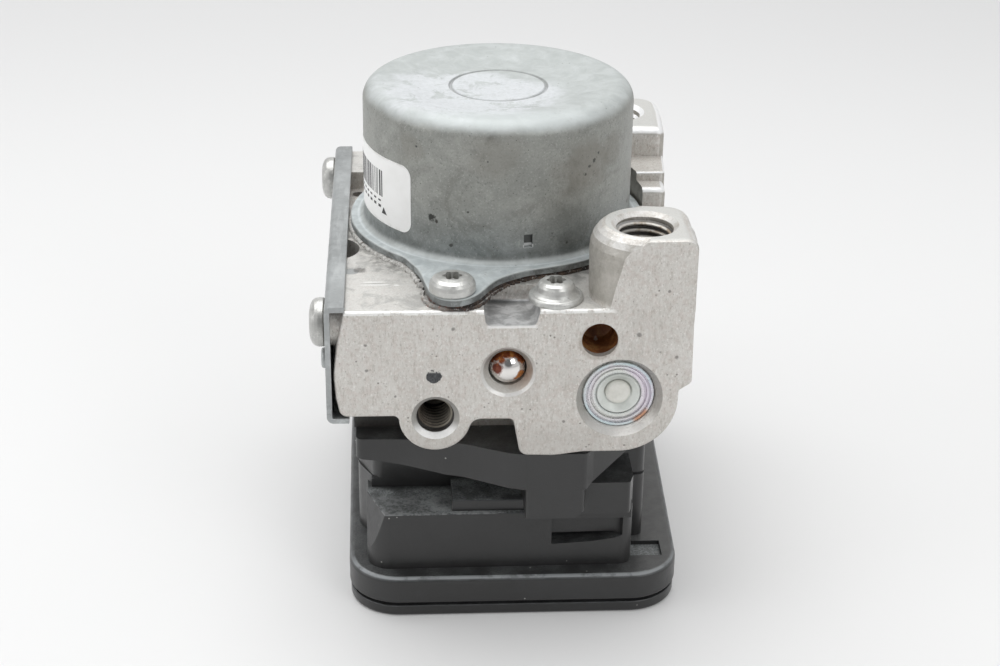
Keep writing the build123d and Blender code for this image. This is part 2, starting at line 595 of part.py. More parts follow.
for i in range(12):
    wind = wind + Rot(0, 0, 30 * i) * (Pos(14.15, 0, 92.5) * Box(6.2, 2.3, 17))
save("rotor_winding", one(wind))
comm = ring(8.0, 4.22, 76.2, 82.2)
for i in range(12):
    comm = comm - Rot(0, 0, 15 + 30 * i) * (Pos(7.8, 0, 79.9) * Box(1.2, 0.5, 5.2))
save("commutator", one(comm))
dr = ring(9.5, 6.55, 59.4, 67.6, 0, ECC)
save("drive_ring", one(dr))
save("upper_bearing", one(revolve_z([(3.05, 103.3), (8.0, 103.3), (8.0, 107.6), (3.05, 107.6)])))
save("lower_bearing", one(revolve_z([(3.05, 53.5), (8.0, 53.5), (8.0, 57.4), (3.05, 57.4)])))
mags = []
for s in (1, -1):
    m = ring(28.42, 21.6, 82.0, 103.0)
    w = Wire.make_polygon([Vector(0, 0, 81), Vector(s * 60, -60 * 1.9, 81), Vector(s * 90, 0, 81),
                           Vector(s * 60, 60 * 1.9, 81)], close=True)
    m = one(m & extrude(Face(w), amount=30, dir=(0, 0, 1)))
    mags.append(m)
save("field_magnets", mags)
# brush plate with two guides
bp = one(ring(26.7, 9.0, 73.55, 75.4))
for s in (1, -1):
    g = box(-3.9, 3.9, 10.0, 21.3, 75.3, 81.9) - box(-2.58, 2.58, 9, 20.4, 75.92, 81.1)
    if s < 0:
        g = Rot(0, 0, 180) * g
    bp = bp + g
save("brush_plate", one(bp))
brush = box(-2.5, 2.5, 8.25, 16.0, 76.0, 81.0)
save("brush_rear", brush)
save("brush_front", Rot(0, 0, 180) * brush)
bsp = spring(1.7, 0.25, 4.4 - 0.1, 5)
save("brush_springs", [Location((0, 16.05, 78.5), (-90, 0, 0)) * bsp,
                       Location((0, -16.05, 78.5), (90, 0, 0)) * bsp])

# ---------------------------------------------------------------- pump elements
TIP = 9.5 + ECC + 0.15


def piston_x():
    """Pump piston lying along +X: ball-nosed tip, stem, guide and spring spigot."""
    p = revolve_z([(0, TIP), (1.6, TIP + 0.12), (2.9, TIP + 0.9), (2.9, 15.0), (3.46, 15.0), (3.46, 23.5), (1.5, 23.5),
                   (1.5, 25.0), (0, 25.0)])
    return p


def sleeve_x():
    return revolve_z([(3.5, 14.0), (6.3, 14.0), (6.3, 32.2), (3.5, 32.2)])


def to_x(s, sign):
    """Turn a shape about Z into one about X at the pump height."""
    return Location((0, 0, PUMP_Z), (0, 90 * sign, 0)) * s


save("pump_piston_right", one(to_x(piston_x(), 1)))
save("pump_piston_left", one(to_x(piston_x(), -1)))
save("pump_sleeves", [one(to_x(sleeve_x(), 1)), one(to_x(sleeve_x(), -1))])
psp = Pos(0, 0, 23.55) * spring(2.35, 0.4, 8.4, 5)
save("pump_springs", [to_x(psp, 1), to_x(psp, -1)])
plug_r = one(to_x(revolve_z([(0, 32.25), (6.35, 32.25), (6.35, 37.2), (5.6, 37.9), (3.0, 37.9), (3.0, 36.4), (0, 36.4)]), 1))
plug_l = one(to_x(revolve_z([(0, 32.25), (6.35, 32.25), (6.35, 34.2), (5.8, 34.7), (3.0, 34.7), (3.0, 33.6), (0, 33.6)]), -1))
save("pump_plugs", [plug_r, plug_l])

# ---------------------------------------------------------------- valves
# cartridge: stem pressed into the block, thin dome reaching down through its coil
def valve_body():
    body = revolve_z([(1.3, 42.0), (2.95, 40.0), (2.95, 27.0), (0, 27.0), (0, 26.2), (2.6, 26.2), (3.5, 27.1), (3.5, 43.2),
                      (4.45, 43.2), (4.45, 54.8), (3.6, 55.6), (1.0, 55.6), (0.9, 53.5), (1.3, 53.0)])
    return body


def armature_up():
    """Armature with its needle; rests low and lifts to close."""
    return revolve_z([(0, 27.3), (2.3, 27.3), (2.88, 27.8), (2.88, 36.0), (0.75, 36.0), (0.75, 51.8), (0.3, 52.6), (0, 52.6)])


def armature_down():
    """Armature with its needle; rests high on its seat and drops to open."""
    return revolve_z([(0, 30.2), (1.2, 30.2), (1.2, 31.2), (2.88, 31.2), (2.88, 39.4), (0.75, 39.4), (0.75, 52.2),
                      (0.3, 53.0), (0, 53.0)])


inlet, outlet = [], []
for x in VALVE_X:
    inlet.append(Pos(x, -VALVE_Y, 0) * valve_body())
    outlet.append(Pos(x, VALVE_Y, 0) * valve_body())
save("inlet_valve_bodies", [one(s) for s in inlet])
save("outlet_valve_bodies", [one(s) for s in outlet])
vs_up = Pos(0, 0, 36.05) * spring(1.75, 0.22, 3.9, 4)
vs_dn = Pos(0, 0, 27.05) * spring(1.75, 0.22, 4.1, 4)
vsp = []
for i, x in enumerate(VALVE_X):
    save("inlet_armature_%d" % (i + 1), one(Pos(x, -VALVE_Y, 0) * armature_up()))
    save("outlet_armature_%d" % (i + 1), one(Pos(x, VALVE_Y, 0) * armature_down()))
    vsp += [Pos(x, -VALVE_Y, 0) * vs_up, Pos(x, VALVE_Y, 0) * vs_dn]
save("valve_springs", vsp)
cl, yk = [], []
for x in VALVE_X:
    for y in (-VALVE_Y, VALVE_Y):
        cl.append(one(ring(6.2, 3.6, 22.2, 37.8, x, y)))
        yk.append(one(revolve_z([(3.6, 38.0), (3.6, 39.2), (7.0, 39.2), (7.0, 21.0), (3.6, 21.0), (3.6, 22.0), (6.3, 22.0),
                                 (6.3, 38.0)], x, y)))
save("solenoid_coils", cl)
save("coil_yokes", yk)


# ---------------------------------------------------------------- control housing
FX0, FX1, FY0, FY1 = -34.3, 40.2, -44.35, 62.0


def flange_plan(d, z0, z1):
    """Plan of the housing flange, d inside its edge: it widens a little towards the back."""
    return prism_xy([(FX0 + d, FY0 + d, 11.5 - d), (FX1 - 0.6 - d, FY0 + d, 11.5 - d), (FX1 + 1.7 - d, 22.0, 60), (FX1 + 1.7 - d, FY1 - d, 11.5 - d),
                     (FX0 - 0.75 + d, FY1 - d, 11.5 - d), (FX0 - 0.75 + d, 22.0, 60)], z0, z1)


def build_housing():
    h = one(flange_plan(0.0, Z_SEAM_HI, Z_FLANGE))
    h = try_fillet(h, [e for e in h.edges() if near(e, "Z", Z_FLANGE)], 1.3, "flange top")
    h = try_fillet(h, [e for e in h.edges() if near(e, "Z", Z_SEAM_HI)], 0.5, "flange low")
    # front lower body with its ledge, then the wider rear body
    low = one(prism_xy([(-30.3, -40.1, 5.0), (29.2, -39.6, 3.0), (29.2, -24, 0), (-30.3, -24, 0)], 9.0, 24.0))
    low = try_fillet(low, [e for e in low.edges() if near(e, "Z", 24.0)], 0.35, "ledge rim")
    back = one(prism_xy([(-29.2, -32.9, 2.5), (28.2, -32.9, 1.5), (28.2, -28.0, 0), (33.0, -27.6, 2.0), (33.0, 50.0, 4),
                         (-32.3, 50.0, 4), (-32.3, -20.0, 6), (-29.2, -26, 0)], 9.0, 26.2))
    upper = one(prism_xy([(-28.3, -27.5, 2.5), (26.5, -27.5, 1.5), (33.0, -27.0, 2.0), (33.0, 50.0, 4), (-32.3, 50.0, 4),
                          (-32.3, -19.0, 6)], 26.0, 40.2))
    h = h + low + back + upper
    # top plate that meets the block, with its forward bulge round the screw pillar
    plan = [(-32.2, -39.5, 1.5), (-21.6, -39.8, 20), (-9.5, -41.9, 14), (0.9, -46.7, 8), (4.3, -47.4, 1.2),
            (17.2, -47.4, 1.2), (19.0, -45.6, 2), (29.6, -38.0, 1.5), (34.0, -27.0, 2.0), (34.0, 46.5, 3), (-32.6, 46.5, 3)]
    plate = one(prism_xy(plan, 33.0, Z_INT))
    # underside of the bulge rises to both sides
    under = one(prism_xz([(-36, 43.5, 0), (-36, 38.6, 0), (-27.0, 37.6, 6), (-12.6, 34.9, 6), (3.0, 34.3, 3), (6.0, 34.1, 0),
                          (17.6, 34.1, 0), (19.0, 35.2, 2), (30.5, 41.6, 0), (36.0, 41.6, 0), (36.0, 43.5, 0)], -50, -26.5))
    rear_plate = box(-36, 40, -26.6, 60, 39.0, 44.0)
    plate = one(one(plate & (under + rear_plate)))
    h = h + plate
    # screw pillar under the bulge
    pil = one(prism_xy([(4.3, -47.4, 1.0), (16.9, -47.4, 1.0), (17.4, -46.4, 0), (17.4, -36, 0), (4.3, -36, 0)], 27.0, 35.5))
    pil = pil - one(prism_xz([(14.0, 26.0, 0), (19.0, 26.0, 0), (19.0, 30.2, 0)], -50, -30))
    h = h + one(pil)
    # right face block, its slotted panel, and the small raised block on the ledge
    rb = one(prism_xy([(17.0, -43.0, 0.4), (27.6, -43.0, 0.8), (28.6, -40.0, 0), (28.6, -30, 0), (17.0, -30, 0)], 25.3, 33.2))
    h = h + rb
    h = h + box(10.6, 28.4, -41.0, -33, 23.0, 27.5)
    scoop = one(prism_xy([(10.9, -42.0, 0), (27.4, -42.0, 0), (26.4, -37.6, 2.5), (10.9, -37.6, 0)], 15.0, 22.9))
    scoop = one(scoop & prism_xz([(10.9, 15.6, 0), (20.0, 16.15, 30), (25.0, 16.9, 6), (28.5, 18.2, 0), (28.5, 22.9, 0), (10.9, 22.9, 0)],
                                 -42.5, -37.0))
    h = h - scoop
    h = h - prism_xz([(11.0, 15.7, 0), (20.0, 16.25, 0), (24.6, 16.95, 0), (25.6, 17.4, 0), (20.0, 17.45, 0), (11.0, 17.35, 0)],
                     -39.0, -35.7)
    sb = one(box(-11.3, 6.8, -38.7, -32.5, 23.9, 26.75).solids()[0])
    sb = try_fillet(sb, [e for e in sb.edges() if near(e, "Z", 26.75)], 0.4, "small block")
    h = h + sb
    # the ledge runs back to the upper wall on the left, and its left corner slopes away
    h = h - box(-34.0, -11.3, -42.0, -27.5, 24.0, 26.4)
    face = Plane(origin=(-25.8, -41.0, 24.0), z_dir=(-174.0, -66.7, 46.0))
    slope = face * Pos(0, 0, 5) * Box(60, 60, 10)
    h = one(h) - one(slope & box(-34.0, -20.0, -42.0, -29.0, Z_FLANGE + 0.05, 25.0))
    es = [e for e in one(h).edges() if abs(face.to_local_coords(e.center()).Z) < 0.02 and abs(face.to_local_coords(e @ 0).Z) < 0.02
          and abs(face.to_local_coords(e @ 1).Z) < 0.02 and e.center().Z > Z_FLANGE + 1 and e.center().Z < 23.5
          and -33 < e.center().X < -20 and e.center().Y < -28 and e.length > 4]
    for rr in (2.5, 1.5, 0.8):
        g = try_fillet(one(h), es, rr, "ledge corner")
        if g is not h and abs(g.volume - h.volume) > 0.01:
            h = g
            break
    # connector shroud at the back
    sh = one(prism_xz([(-22, 10.0, 0), (26, 10.0, 0), (26, 36.0, 2.5), (-22, 36.0, 2.5)], 49.0, 80.0))
    h = h + sh
    # electronics room, open below
    room = one(rrect(-30.2, 31.0, -25.0, 47.6, 0, 38.6, 2.0))
    h = h - room
    room2 = one(rrect(-27.8, 26.8, -34.0, 46, 0, 21.6, 2.0))
    h = h - room2
    board_room = one(rrect(-31.2, 36.6, -39.0, 57.0, 0, 8.2, 6.0))
    h = h - board_room
    # window for the coils, and the groove for the seal round it
    h = h - one(rrect(-29.6, 29.6, -24.6, 24.6, 30, 50, 6.0))
    groove = one(rrect(-32.0 + 0.2, 32.4, -26.9, 27.4, 42.0, 44, 7.0)) - one(rrect(-30.3, 30.6, -25.4, 25.6, 41, 45, 6.0))
    h = h - groove
    # connector socket, and the room behind its pins
    sock = one(prism_xz([(-19.6, 14.2, 1.5), (23.6, 14.2, 1.5), (23.6, 33.6, 1.5), (-19.6, 33.6, 1.5)], 62.0, 81.0))
    h = h - sock
    h = h - box(-19.0, 23.0, 40.0, 57.0, 7.0, 31.0)
    # blind pillar at the back for the second long screw, and both screw holes
    x, y = COLLAR_SCREWS[1]
    h = h + cyl(5.0, (x, y, 27.5), (0, 0, 1), Z_INT - 27.5 - 0.02)
    for (x, y) in COLLAR_SCREWS:
        h = h - cyl(M5_HOLE, (x, y, 29.8), (0, 0, 1), 30)
    # shallow pocket in the flange, at the right front corner
    h = h - box(29.4, 36.6, -36.3, -30.2, 9.0, 12.0)
    # locating tongue at the left of the seam and ribs on the connector
    for x in (-14, 2, 18):
        h = h + box(x - 0.8, x + 0.8, 50.5, 78.0, 35.6, 37.2)
    return one(h)


housing = build_housing()
save("control_housing", housing)

seal = one(rrect(-31.75, 32.35, -26.85, 27.35, 42.02, 43.0, 7.0)) - one(rrect(-30.35, 30.65, -25.45, 25.65, 41, 45, 6.0))
save("housing_seal", one(seal))

cover = one(flange_plan(0.25, 0, Z_SEAM_LO))
cover = try_fillet(cover, [e for e in cover.edges() if near(e, "Z", 0.0)], 0.9, "cover low")
cover = try_fillet(cover, [e for e in cover.edges() if near(e, "Z", Z_SEAM_LO)], 0.3, "cover top")
cover = cover - one(rrect(-30.9, 36.3, -38.7, 56.7, 1.4, 5, 5.7))
cover = cover + (one(rrect(-31.1, 36.5, -38.9, 56.9, 1.5, 5.5, 5.9)) - one(rrect(-29.9, 35.3, -37.7, 55.7, 1.2, 6, 4.9)))
save("control_cover", one(cover))

bead = one(flange_plan(1.1, Z_SEAM_LO, Z_SEAM_HI)) \
    - one(rrect(-31.15, 36.55, -38.95, 56.95, 2, 5, 5.95))
save("cover_seal", one(bead))


# circuit board just above the cover, with its parts
board = one(rrect(-29.4, 34.6, -36.8, 54.4, 6.0, 7.6, 3.0))
save("circuit_board", board)
comp = [box(-8, 8, -6, 10, 7.62, 9.4), box(14, 22, -30, -22, 7.62, 9.0), box(-24, -15, -31, -24, 7.62, 9.2),
        box(-12, -4, -32, -25, 7.62, 9.6), box(2, 9, -33, -27, 7.62, 9.0), box(14, 24, 18, 27, 7.62, 9.3),
        box(-25, -16, 30, 38, 7.62, 10.2), box(-10, -3, 32, 39, 7.62, 9.2), box(4, 10, 33, 38, 7.62, 9.0),
        cyl(4.0, (19, 37, 7.62), (0, 0, 1), 9.5), cyl(4.0, (-26.0, 3, 7.62), (0, 0, 1), 9.5)]
save("board_parts", comp)

pins = []
for j, (zr, n, x0, dx) in enumerate(((19.0, 13, -11.2, 2.4), (24.6, 13, -11.2, 2.4))):
    yb = 52.5 - 2.6 * j
    for i in range(n):
        x = x0 + dx * i
        v = box(x - 0.32, x + 0.32, yb - 0.32, yb + 0.32, 7.62, zr + 0.32)
        w = box(x - 0.32, x + 0.32, yb - 0.32, 72.0, zr - 0.32, zr + 0.32)
        pins.append(one(v + w))
for x in (-16.4, 20.6):
    v = box(x - 1.4, x + 1.4, 52.0, 52.8, 7.62, 22.4)
    w = box(x - 1.4, x + 1.4, 52.0, 73.0, 21.6, 22.4)
    pins.append(one(v + w))
save("connector_pins", pins)
print("done")
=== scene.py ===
import math
import random

import bpy
import numpy as np
from mathutils import Matrix, Vector


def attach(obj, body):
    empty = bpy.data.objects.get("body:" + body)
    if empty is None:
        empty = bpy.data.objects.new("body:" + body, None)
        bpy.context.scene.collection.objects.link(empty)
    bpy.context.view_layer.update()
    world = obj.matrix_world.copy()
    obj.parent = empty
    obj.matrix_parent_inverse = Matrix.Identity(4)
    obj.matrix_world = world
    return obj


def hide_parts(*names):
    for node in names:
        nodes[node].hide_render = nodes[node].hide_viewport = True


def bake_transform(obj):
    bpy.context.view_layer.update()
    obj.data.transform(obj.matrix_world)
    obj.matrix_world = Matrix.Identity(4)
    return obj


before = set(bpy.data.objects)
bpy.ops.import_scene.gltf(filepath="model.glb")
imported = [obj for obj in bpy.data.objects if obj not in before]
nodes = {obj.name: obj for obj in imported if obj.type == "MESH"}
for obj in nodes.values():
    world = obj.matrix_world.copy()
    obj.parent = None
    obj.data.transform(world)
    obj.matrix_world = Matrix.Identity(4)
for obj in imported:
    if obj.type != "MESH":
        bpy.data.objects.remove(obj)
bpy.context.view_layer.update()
random.seed(7)

MM = 0.001
ZT = 77.5            # top face of the valve block, mm
YF = -48.27          # its front face
YR = 46.5            # its rear face


# ------------------------------------------------------------------ node helpers
class Mat:
    """A node material built in a few short calls. Coordinates are the object's own, in metres."""

    def __init__(self, name, metallic=0.0, rough=0.5, spec=0.5, coat=0.0, coat_rough=0.2):
        self.m = bpy.data.materials.new(name)
        self.m.use_nodes = True
        self.t = self.m.node_tree
        self.t.nodes.clear()
        self.out = self.t.nodes.new("ShaderNodeOutputMaterial")
        self.b = self.t.nodes.new("ShaderNodeBsdfPrincipled")
        self.t.links.new(self.b.outputs["BSDF"], self.out.inputs["Surface"])
        self.co = self.t.nodes.new("ShaderNodeTexCoord").outputs["Object"]
        s = self.t.nodes.new("ShaderNodeSeparateXYZ")
        self.t.links.new(self.co, s.inputs[0])
        self.x, self.y, self.z = s.outputs
        g = self.t.nodes.new("ShaderNodeNewGeometry")
        s2 = self.t.nodes.new("ShaderNodeSeparateXYZ")
        self.t.links.new(g.outputs["Normal"], s2.inputs[0])
        self.nx, self.ny, self.nz = s2.outputs
        self.b.inputs["Metallic"].default_value = metallic
        self.b.inputs["Roughness"].default_value = rough
        self.b.inputs["Specular IOR Level"].default_value = spec
        if coat:
            self.b.inputs["Coat Weight"].default_value = coat
            self.b.inputs["Coat Roughness"].default_value = coat_rough

    def put(self, sock, val):
        if isinstance(val, bpy.types.NodeSocket):
            self.t.links.new(val, sock)
        elif isinstance(val, (tuple, list)) and len(val) == 3 and sock.type == "RGBA":
            sock.default_value = (*val, 1.0)
        else:
            sock.default_value = val

    def noise(self, scale, detail=3.0, rough=0.55, dist=0.0, stretch=None, shift=None):
        co = self.co
        if stretch or shift:
            mp = self.t.nodes.new("ShaderNodeMapping")
            self.t.links.new(co, mp.inputs["Vector"])
            if stretch:
                mp.inputs["Scale"].default_value = stretch
            if shift:
                mp.inputs["Location"].default_value = shift
            co = mp.outputs[0]
        n = self.t.nodes.new("ShaderNodeTexNoise")
        self.t.links.new(co, n.inputs["Vector"])
        n.inputs["Scale"].default_value = scale
        n.inputs["Detail"].default_value = detail
        n.inputs["Roughness"].default_value = rough
        n.inputs["Distortion"].default_value = dist
        return n.outputs["Fac"]

    def cells(self, scale, feature="F1", stretch=None, rand=1.0):
        co = self.co
        if stretch:
            mp = self.t.nodes.new("ShaderNodeMapping")
            self.t.links.new(co, mp.inputs["Vector"])
            mp.inputs["Scale"].default_value = stretch
            co = mp.outputs[0]
        n = self.t.nodes.new("ShaderNodeTexVoronoi")
        n.feature = feature
        self.t.links.new(co, n.inputs["Vector"])
        n.inputs["Scale"].default_value = scale
        n.inputs["Randomness"].default_value = rand
        return n.outputs["Distance"], n.outputs["Color"]

    def ramp(self, fac, stops, smooth=False):
        r = self.t.nodes.new("ShaderNodeValToRGB")
        if smooth:
            r.color_ramp.interpolation = "EASE"
        e = r.color_ramp.elements
        while len(e) < len(stops):
            e.new(0.5)
        for el, (p, c) in zip(e, stops):
            el.position = p
            el.color = (*c, 1.0) if isinstance(c, (tuple, list)) else (c, c, c, 1.0)
        self.put(r.inputs[0], fac)
        return r.outputs[0]

    def mix(self, fac, a, b, mode="MIX"):
        n = self.t.nodes.new("ShaderNodeMix")
        n.data_type = "RGBA"
        n.blend_type = mode
        n.clamp_factor = True
        self.put(n.inputs[0], fac)
        self.put(n.inputs[6], a)
        self.put(n.inputs[7], b)
        return n.outputs[2]

    def mixf(self, fac, a, b):
        n = self.t.nodes.new("ShaderNodeMix")
        n.data_type = "FLOAT"
        n.clamp_factor = True
        self.put(n.inputs[0], fac)
        self.put(n.inputs[2], a)
        self.put(n.inputs[3], b)
        return n.outputs[0]

    def op(self, kind, a, b=None, c=None, clamp=False):
        n = self.t.nodes.new("ShaderNodeMath")
        n.operation = kind
        n.use_clamp = clamp
        self.put(n.inputs[0], a)
        if b is not None:
            self.put(n.inputs[1], b)
        if c is not None:
            self.put(n.inputs[2], c)
        return n.outputs[0]

    def rng(self, v, a, b, c=0.0, d=1.0, smooth=True):
        n = self.t.nodes.new("ShaderNodeMapRange")
        n.interpolation_type = "SMOOTHSTEP" if smooth else "LINEAR"
        n.clamp = True
        self.put(n.inputs[0], v)
        for i, q in enumerate((a, b, c, d)):
            n.inputs[i + 1].default_value = q
        return n.outputs[0]

    def vec(self, kind, a, b=None):
        n = self.t.nodes.new("ShaderNodeVectorMath")
        n.operation = kind
        self.put(n.inputs[0], a)
        if b is not None:
            self.put(n.inputs[1], b)
        return n.outputs["Value"] if kind in ("DISTANCE", "LENGTH", "DOT_PRODUCT") else n.outputs[0]

    def spot(self, p, r0, r1, ragged=0.0, scale=900.0, axes=(1, 1, 1)):
        """1 near point p (mm), fading from r0 to r1 mm; ragged wobbles the edge by noise."""
        v = self.vec("SUBTRACT", self.co, tuple(q * MM for q in p))
        v = self.vec("MULTIPLY", v, tuple(float(a) for a in axes))
        d = self.vec("LENGTH", v)
        if ragged:
            nz = self.noise(scale, 3.0, 0.6, shift=(p[0] * 0.37, 0.2, 0.1))
            d = self.op("ADD", d, self.op("MULTIPLY", self.op("SUBTRACT", nz, 0.5), ragged * 2 * MM))
        return self.rng(d, r0 * MM, r1 * MM, 1.0, 0.0)

    def band(self, v, a, b, soft):
        """1 between a and b (mm) along a coordinate, with a soft edge."""
        lo = self.rng(v, (a - soft) * MM, (a + soft) * MM)
        hi = self.rng(v, (b - soft) * MM, (b + soft) * MM, 1.0, 0.0)
        return self.op("MULTIPLY", lo, hi)

    def times(self, *v):
        out = v[0]
        for q in v[1:]:
            out = self.op("MULTIPLY", out, q)
        return out

    def most(self, *v):
        out = v[0]
        for q in v[1:]:
            out = self.op("MAXIMUM", out, q)
        return out

    def bump(self, height, strength=0.3, dist=0.0003, normal=None):
        n = self.t.nodes.new("ShaderNodeBump")
        n.inputs["Strength"].default_value = strength
        n.inputs["Distance"].default_value = dist
        self.put(n.inputs["Height"], height)
        if normal is not None:
            self.t.links.new(normal, n.inputs["Normal"])
        return n.outputs[0]

    def done(self, color, rough=None, normal=None, metallic=None):
        self.put(self.b.inputs["Base Color"], color)
        if rough is not None:
            self.put(self.b.inputs["Roughness"], rough)
        if metallic is not None:
            self.put(self.b.inputs["Metallic"], metallic)
        if normal is not None:
            self.t.links.new(normal, self.b.inputs["Normal"])
        return self.m


def grey(v, t=(1.0, 1.0, 1.0)):
    return tuple(v * q for q in t)


# ------------------------------------------------------------------ materials
def block_material():
    m = Mat("block_aluminium", metallic=0.45, rough=0.45)
    big = m.noise(70, 4, 0.6)
    mid = m.noise(420, 4, 0.65, dist=0.4)
    grain = m.noise(2300, 3, 0.72, stretch=(1.0, 1.0, 0.6))
    tint = m.noise(900, 2, 0.5, shift=(0.3, 0.2, 0.7))
    c = m.ramp(big, [(0.32, (0.585, 0.563, 0.529)), (0.5, (0.650, 0.628, 0.592)), (0.70, (0.700, 0.681, 0.648))])
    c = m.mix(m.rng(mid, 0.35, 0.7, 0.0, 0.35), c, (0.70, 0.68, 0.645))
    c = m.mix(m.rng(tint, 0.45, 0.65, 0.0, 0.35), c, (0.57, 0.50, 0.46))
    streak = m.noise(1500, 3, 0.7, stretch=(1.0, 1.0, 0.28))
    c = m.mix(m.rng(streak, 0.54, 0.72, 0.0, 0.40), c, (0.80, 0.785, 0.76))
    c = m.mix(m.rng(streak, 0.46, 0.30, 0.0, 0.40), c, (0.41, 0.375, 0.33))
    # blasted grain: light and dark points a few tenths of a millimetre across
    c = m.mix(m.rng(grain, 0.56, 0.70, 0.0, 0.60), c, (0.93, 0.92, 0.90))
    c = m.mix(m.rng(grain, 0.45, 0.32, 0.0, 0.50), c, (0.36, 0.325, 0.285))
    nick, _ = m.cells(1050)
    c = m.mix(m.times(m.rng(nick, 0.07, 0.17, 1.0, 0.0), m.rng(m.noise(480, 2, 0.5), 0.52, 0.58), 0.65), c, (0.20, 0.17, 0.15))
    pits, _ = m.cells(700)
    pit_where = m.rng(m.noise(260, 2, 0.5), 0.56, 0.66)
    pit = m.times(m.rng(pits, 0.08, 0.20, 1.0, 0.0), pit_where)
    c = m.mix(m.op("MULTIPLY", pit, 0.75), c, (0.15, 0.13, 0.11))
    # the top face: greyer, with oily grime near the motor
    top = m.times(m.rng(m.nz, 0.75, 0.95), m.band(m.z, ZT - 1.0, ZT + 1.0, 0.5))
    grime = m.rng(m.noise(180, 5, 0.62, dist=1.0), 0.46, 0.66)
    c = m.mix(m.times(top, 0.5), c, (0.63, 0.63, 0.61))
    c = m.mix(m.times(top, grime, 0.40), c, (0.22, 0.225, 0.22))
    near_can = m.times(top, m.spot((0, 0, ZT), 35.0, 39.0, ragged=3.0, scale=120, axes=(1, 1, 0)), m.rng(m.noise(400, 4, 0.65), 0.38, 0.6))
    c = m.mix(m.op("MULTIPLY", near_can, 0.55), c, (0.11, 0.105, 0.095))
    # painted highlight along the machined front edge of the top face, slightly ragged
    edge = m.times(m.spot((-20.0, YF + 0.30, ZT - 0.30), 0.42, 0.62, ragged=0.22, scale=700, axes=(0, 1, 1)), m.rng(m.x, -34.5 * MM, -33.5 * MM),
                   m.rng(m.x, 23 * MM, 21 * MM))
    edge = m.times(edge, m.rng(m.noise(420, 4, 0.75), 0.37, 0.50, 0.15, 1.0))
    c = m.mix(m.op("MULTIPLY", edge, 0.85), c, (0.97, 0.97, 0.95))
    # the lower part of the front face and the notches are darker towards the bottom, in patches
    low = m.rng(m.z, (ZT - 31) * MM, (ZT - 22) * MM, 0.35, 0.0)
    c = m.mix(m.times(low, m.rng(big, 0.3, 0.6)), c, (0.36, 0.34, 0.31))
    # towers: browner than the milled faces, a cast surface, with painted shade from the can darkening their sides
    tower = m.times(m.band(m.x, 15.5, 45, 0.6), m.rng(m.z, (ZT + 0.2) * MM, (ZT + 1.4) * MM), m.rng(m.ny, -0.985, -0.93))
    skin_and_can_shade = m.mix(m.rng(mid, 0.3, 0.7), (0.34, 0.322, 0.285), (0.47, 0.45, 0.41))
    c = m.mix(m.times(tower, m.rng(m.nz, 0.85, 0.4, 0.25, 0.85)), c, skin_and_can_shade)
    # tower top: turned face, brighter
    turned = m.times(m.rng(m.nz, 0.9, 0.99), m.rng(m.z, (ZT + 14.6) * MM, (ZT + 15.1) * MM))
    c = m.mix(m.times(turned, 0.75), c, (0.60, 0.605, 0.585))
    # painted highlight: the shoulder of the tower top is painted white
    crown_highlight = m.times(tower, m.rng(m.nz, 0.25, 0.5), m.rng(m.nz, 0.95, 0.8), m.rng(m.noise(260, 4, 0.6), 0.36, 0.62))
    c = m.mix(m.op("MULTIPLY", crown_highlight, 0.50), c, (0.84, 0.845, 0.84))
    # painted highlights on the edges of the far shoulders
    far_highlight = m.times(m.rng(m.y, 2 * MM, 3 * MM), m.rng(m.x, 28 * MM, 29 * MM), m.rng(m.nz, 0.30, 0.55), m.rng(m.nz, 0.985, 0.90))
    c = m.mix(m.op("MULTIPLY", far_highlight, 0.85), c, (0.93, 0.935, 0.94))
    # two faint raised lines drawn as painted highlights, with a painted shade line beside one, and a dark oval mark on
    # the top face
    for p, ax in (((-27.2, -34.6, ZT), (0.10, 1, 1)), ((-27.8, -33.2, ZT), (0.13, 1, 1)), ((-23.0, -34.9, ZT), (0.5, 1, 1))):
        c = m.mix(m.times(top, m.spot(p, 0.18, 0.42, ragged=0.12, scale=500, axes=ax), 0.7), c, (0.93, 0.93, 0.92))
    c = m.mix(m.times(top, m.spot((-27.2, -34.1, ZT), 0.15, 0.40, ragged=0.1, scale=500, axes=(0.11, 1, 1)), 0.45), c, (0.30, 0.30, 0.28))
    oval = m.times(top, m.spot((-32.8, -27.6, ZT), 1.3, 1.6, ragged=0.3, scale=700, axes=(0.8, 1, 1)))
    c = m.mix(m.op("MULTIPLY", oval, 0.65), c, (0.26, 0.28, 0.29))
    # groove in the front top edge: bare metal, painted shade towards its back and a painted highlight on the lower lip
    cut = m.times(m.band(m.x, -5.6, 7.4, 0.4), m.rng(m.y, -34.5 * MM, -35.5 * MM), m.band(m.z, ZT - 3.7, ZT - 0.3, 0.15), m.rng(m.ny, -0.9, -0.5))
    c = m.mix(m.times(cut, 0.7), c, m.mix(m.rng(m.noise(330, 3, 0.6, dist=0.2), 0.38, 0.62), (0.38, 0.395, 0.41), (0.80, 0.815, 0.83)))
    # painted shade deep in the groove
    back = m.times(cut, m.rng(m.y, -38.5 * MM, -36.2 * MM, 0.0, 0.7))
    c = m.mix(back, c, (0.13, 0.135, 0.14))
    # painted highlight on the groove's lower lip
    lip = m.times(m.spot((0.5, YF + 0.1, ZT - 3.62), 0.28, 0.45, ragged=0.12, scale=800, axes=(0, 1, 1)), m.band(m.x, -4.3, 5.9, 0.4))
    c = m.mix(m.op("MULTIPLY", lip, 0.75), c, (0.93, 0.93, 0.92))
    # the set-back strip below the front face, left of the lobe, is painted near-black as shade under the overhang
    below = m.times(m.rng(m.z, 54.0 * MM, 53.5 * MM), m.rng(m.x, -12.0 * MM, -14.0 * MM), m.rng(m.y, (YF + 0.8) * MM, (YF + 1.5) * MM),
                    m.rng(m.y, -22.0 * MM, -24.0 * MM), m.rng(m.ny, -0.3, -0.6))
    c = m.mix(m.op("MULTIPLY", below, 0.93), c, (0.022, 0.021, 0.020))
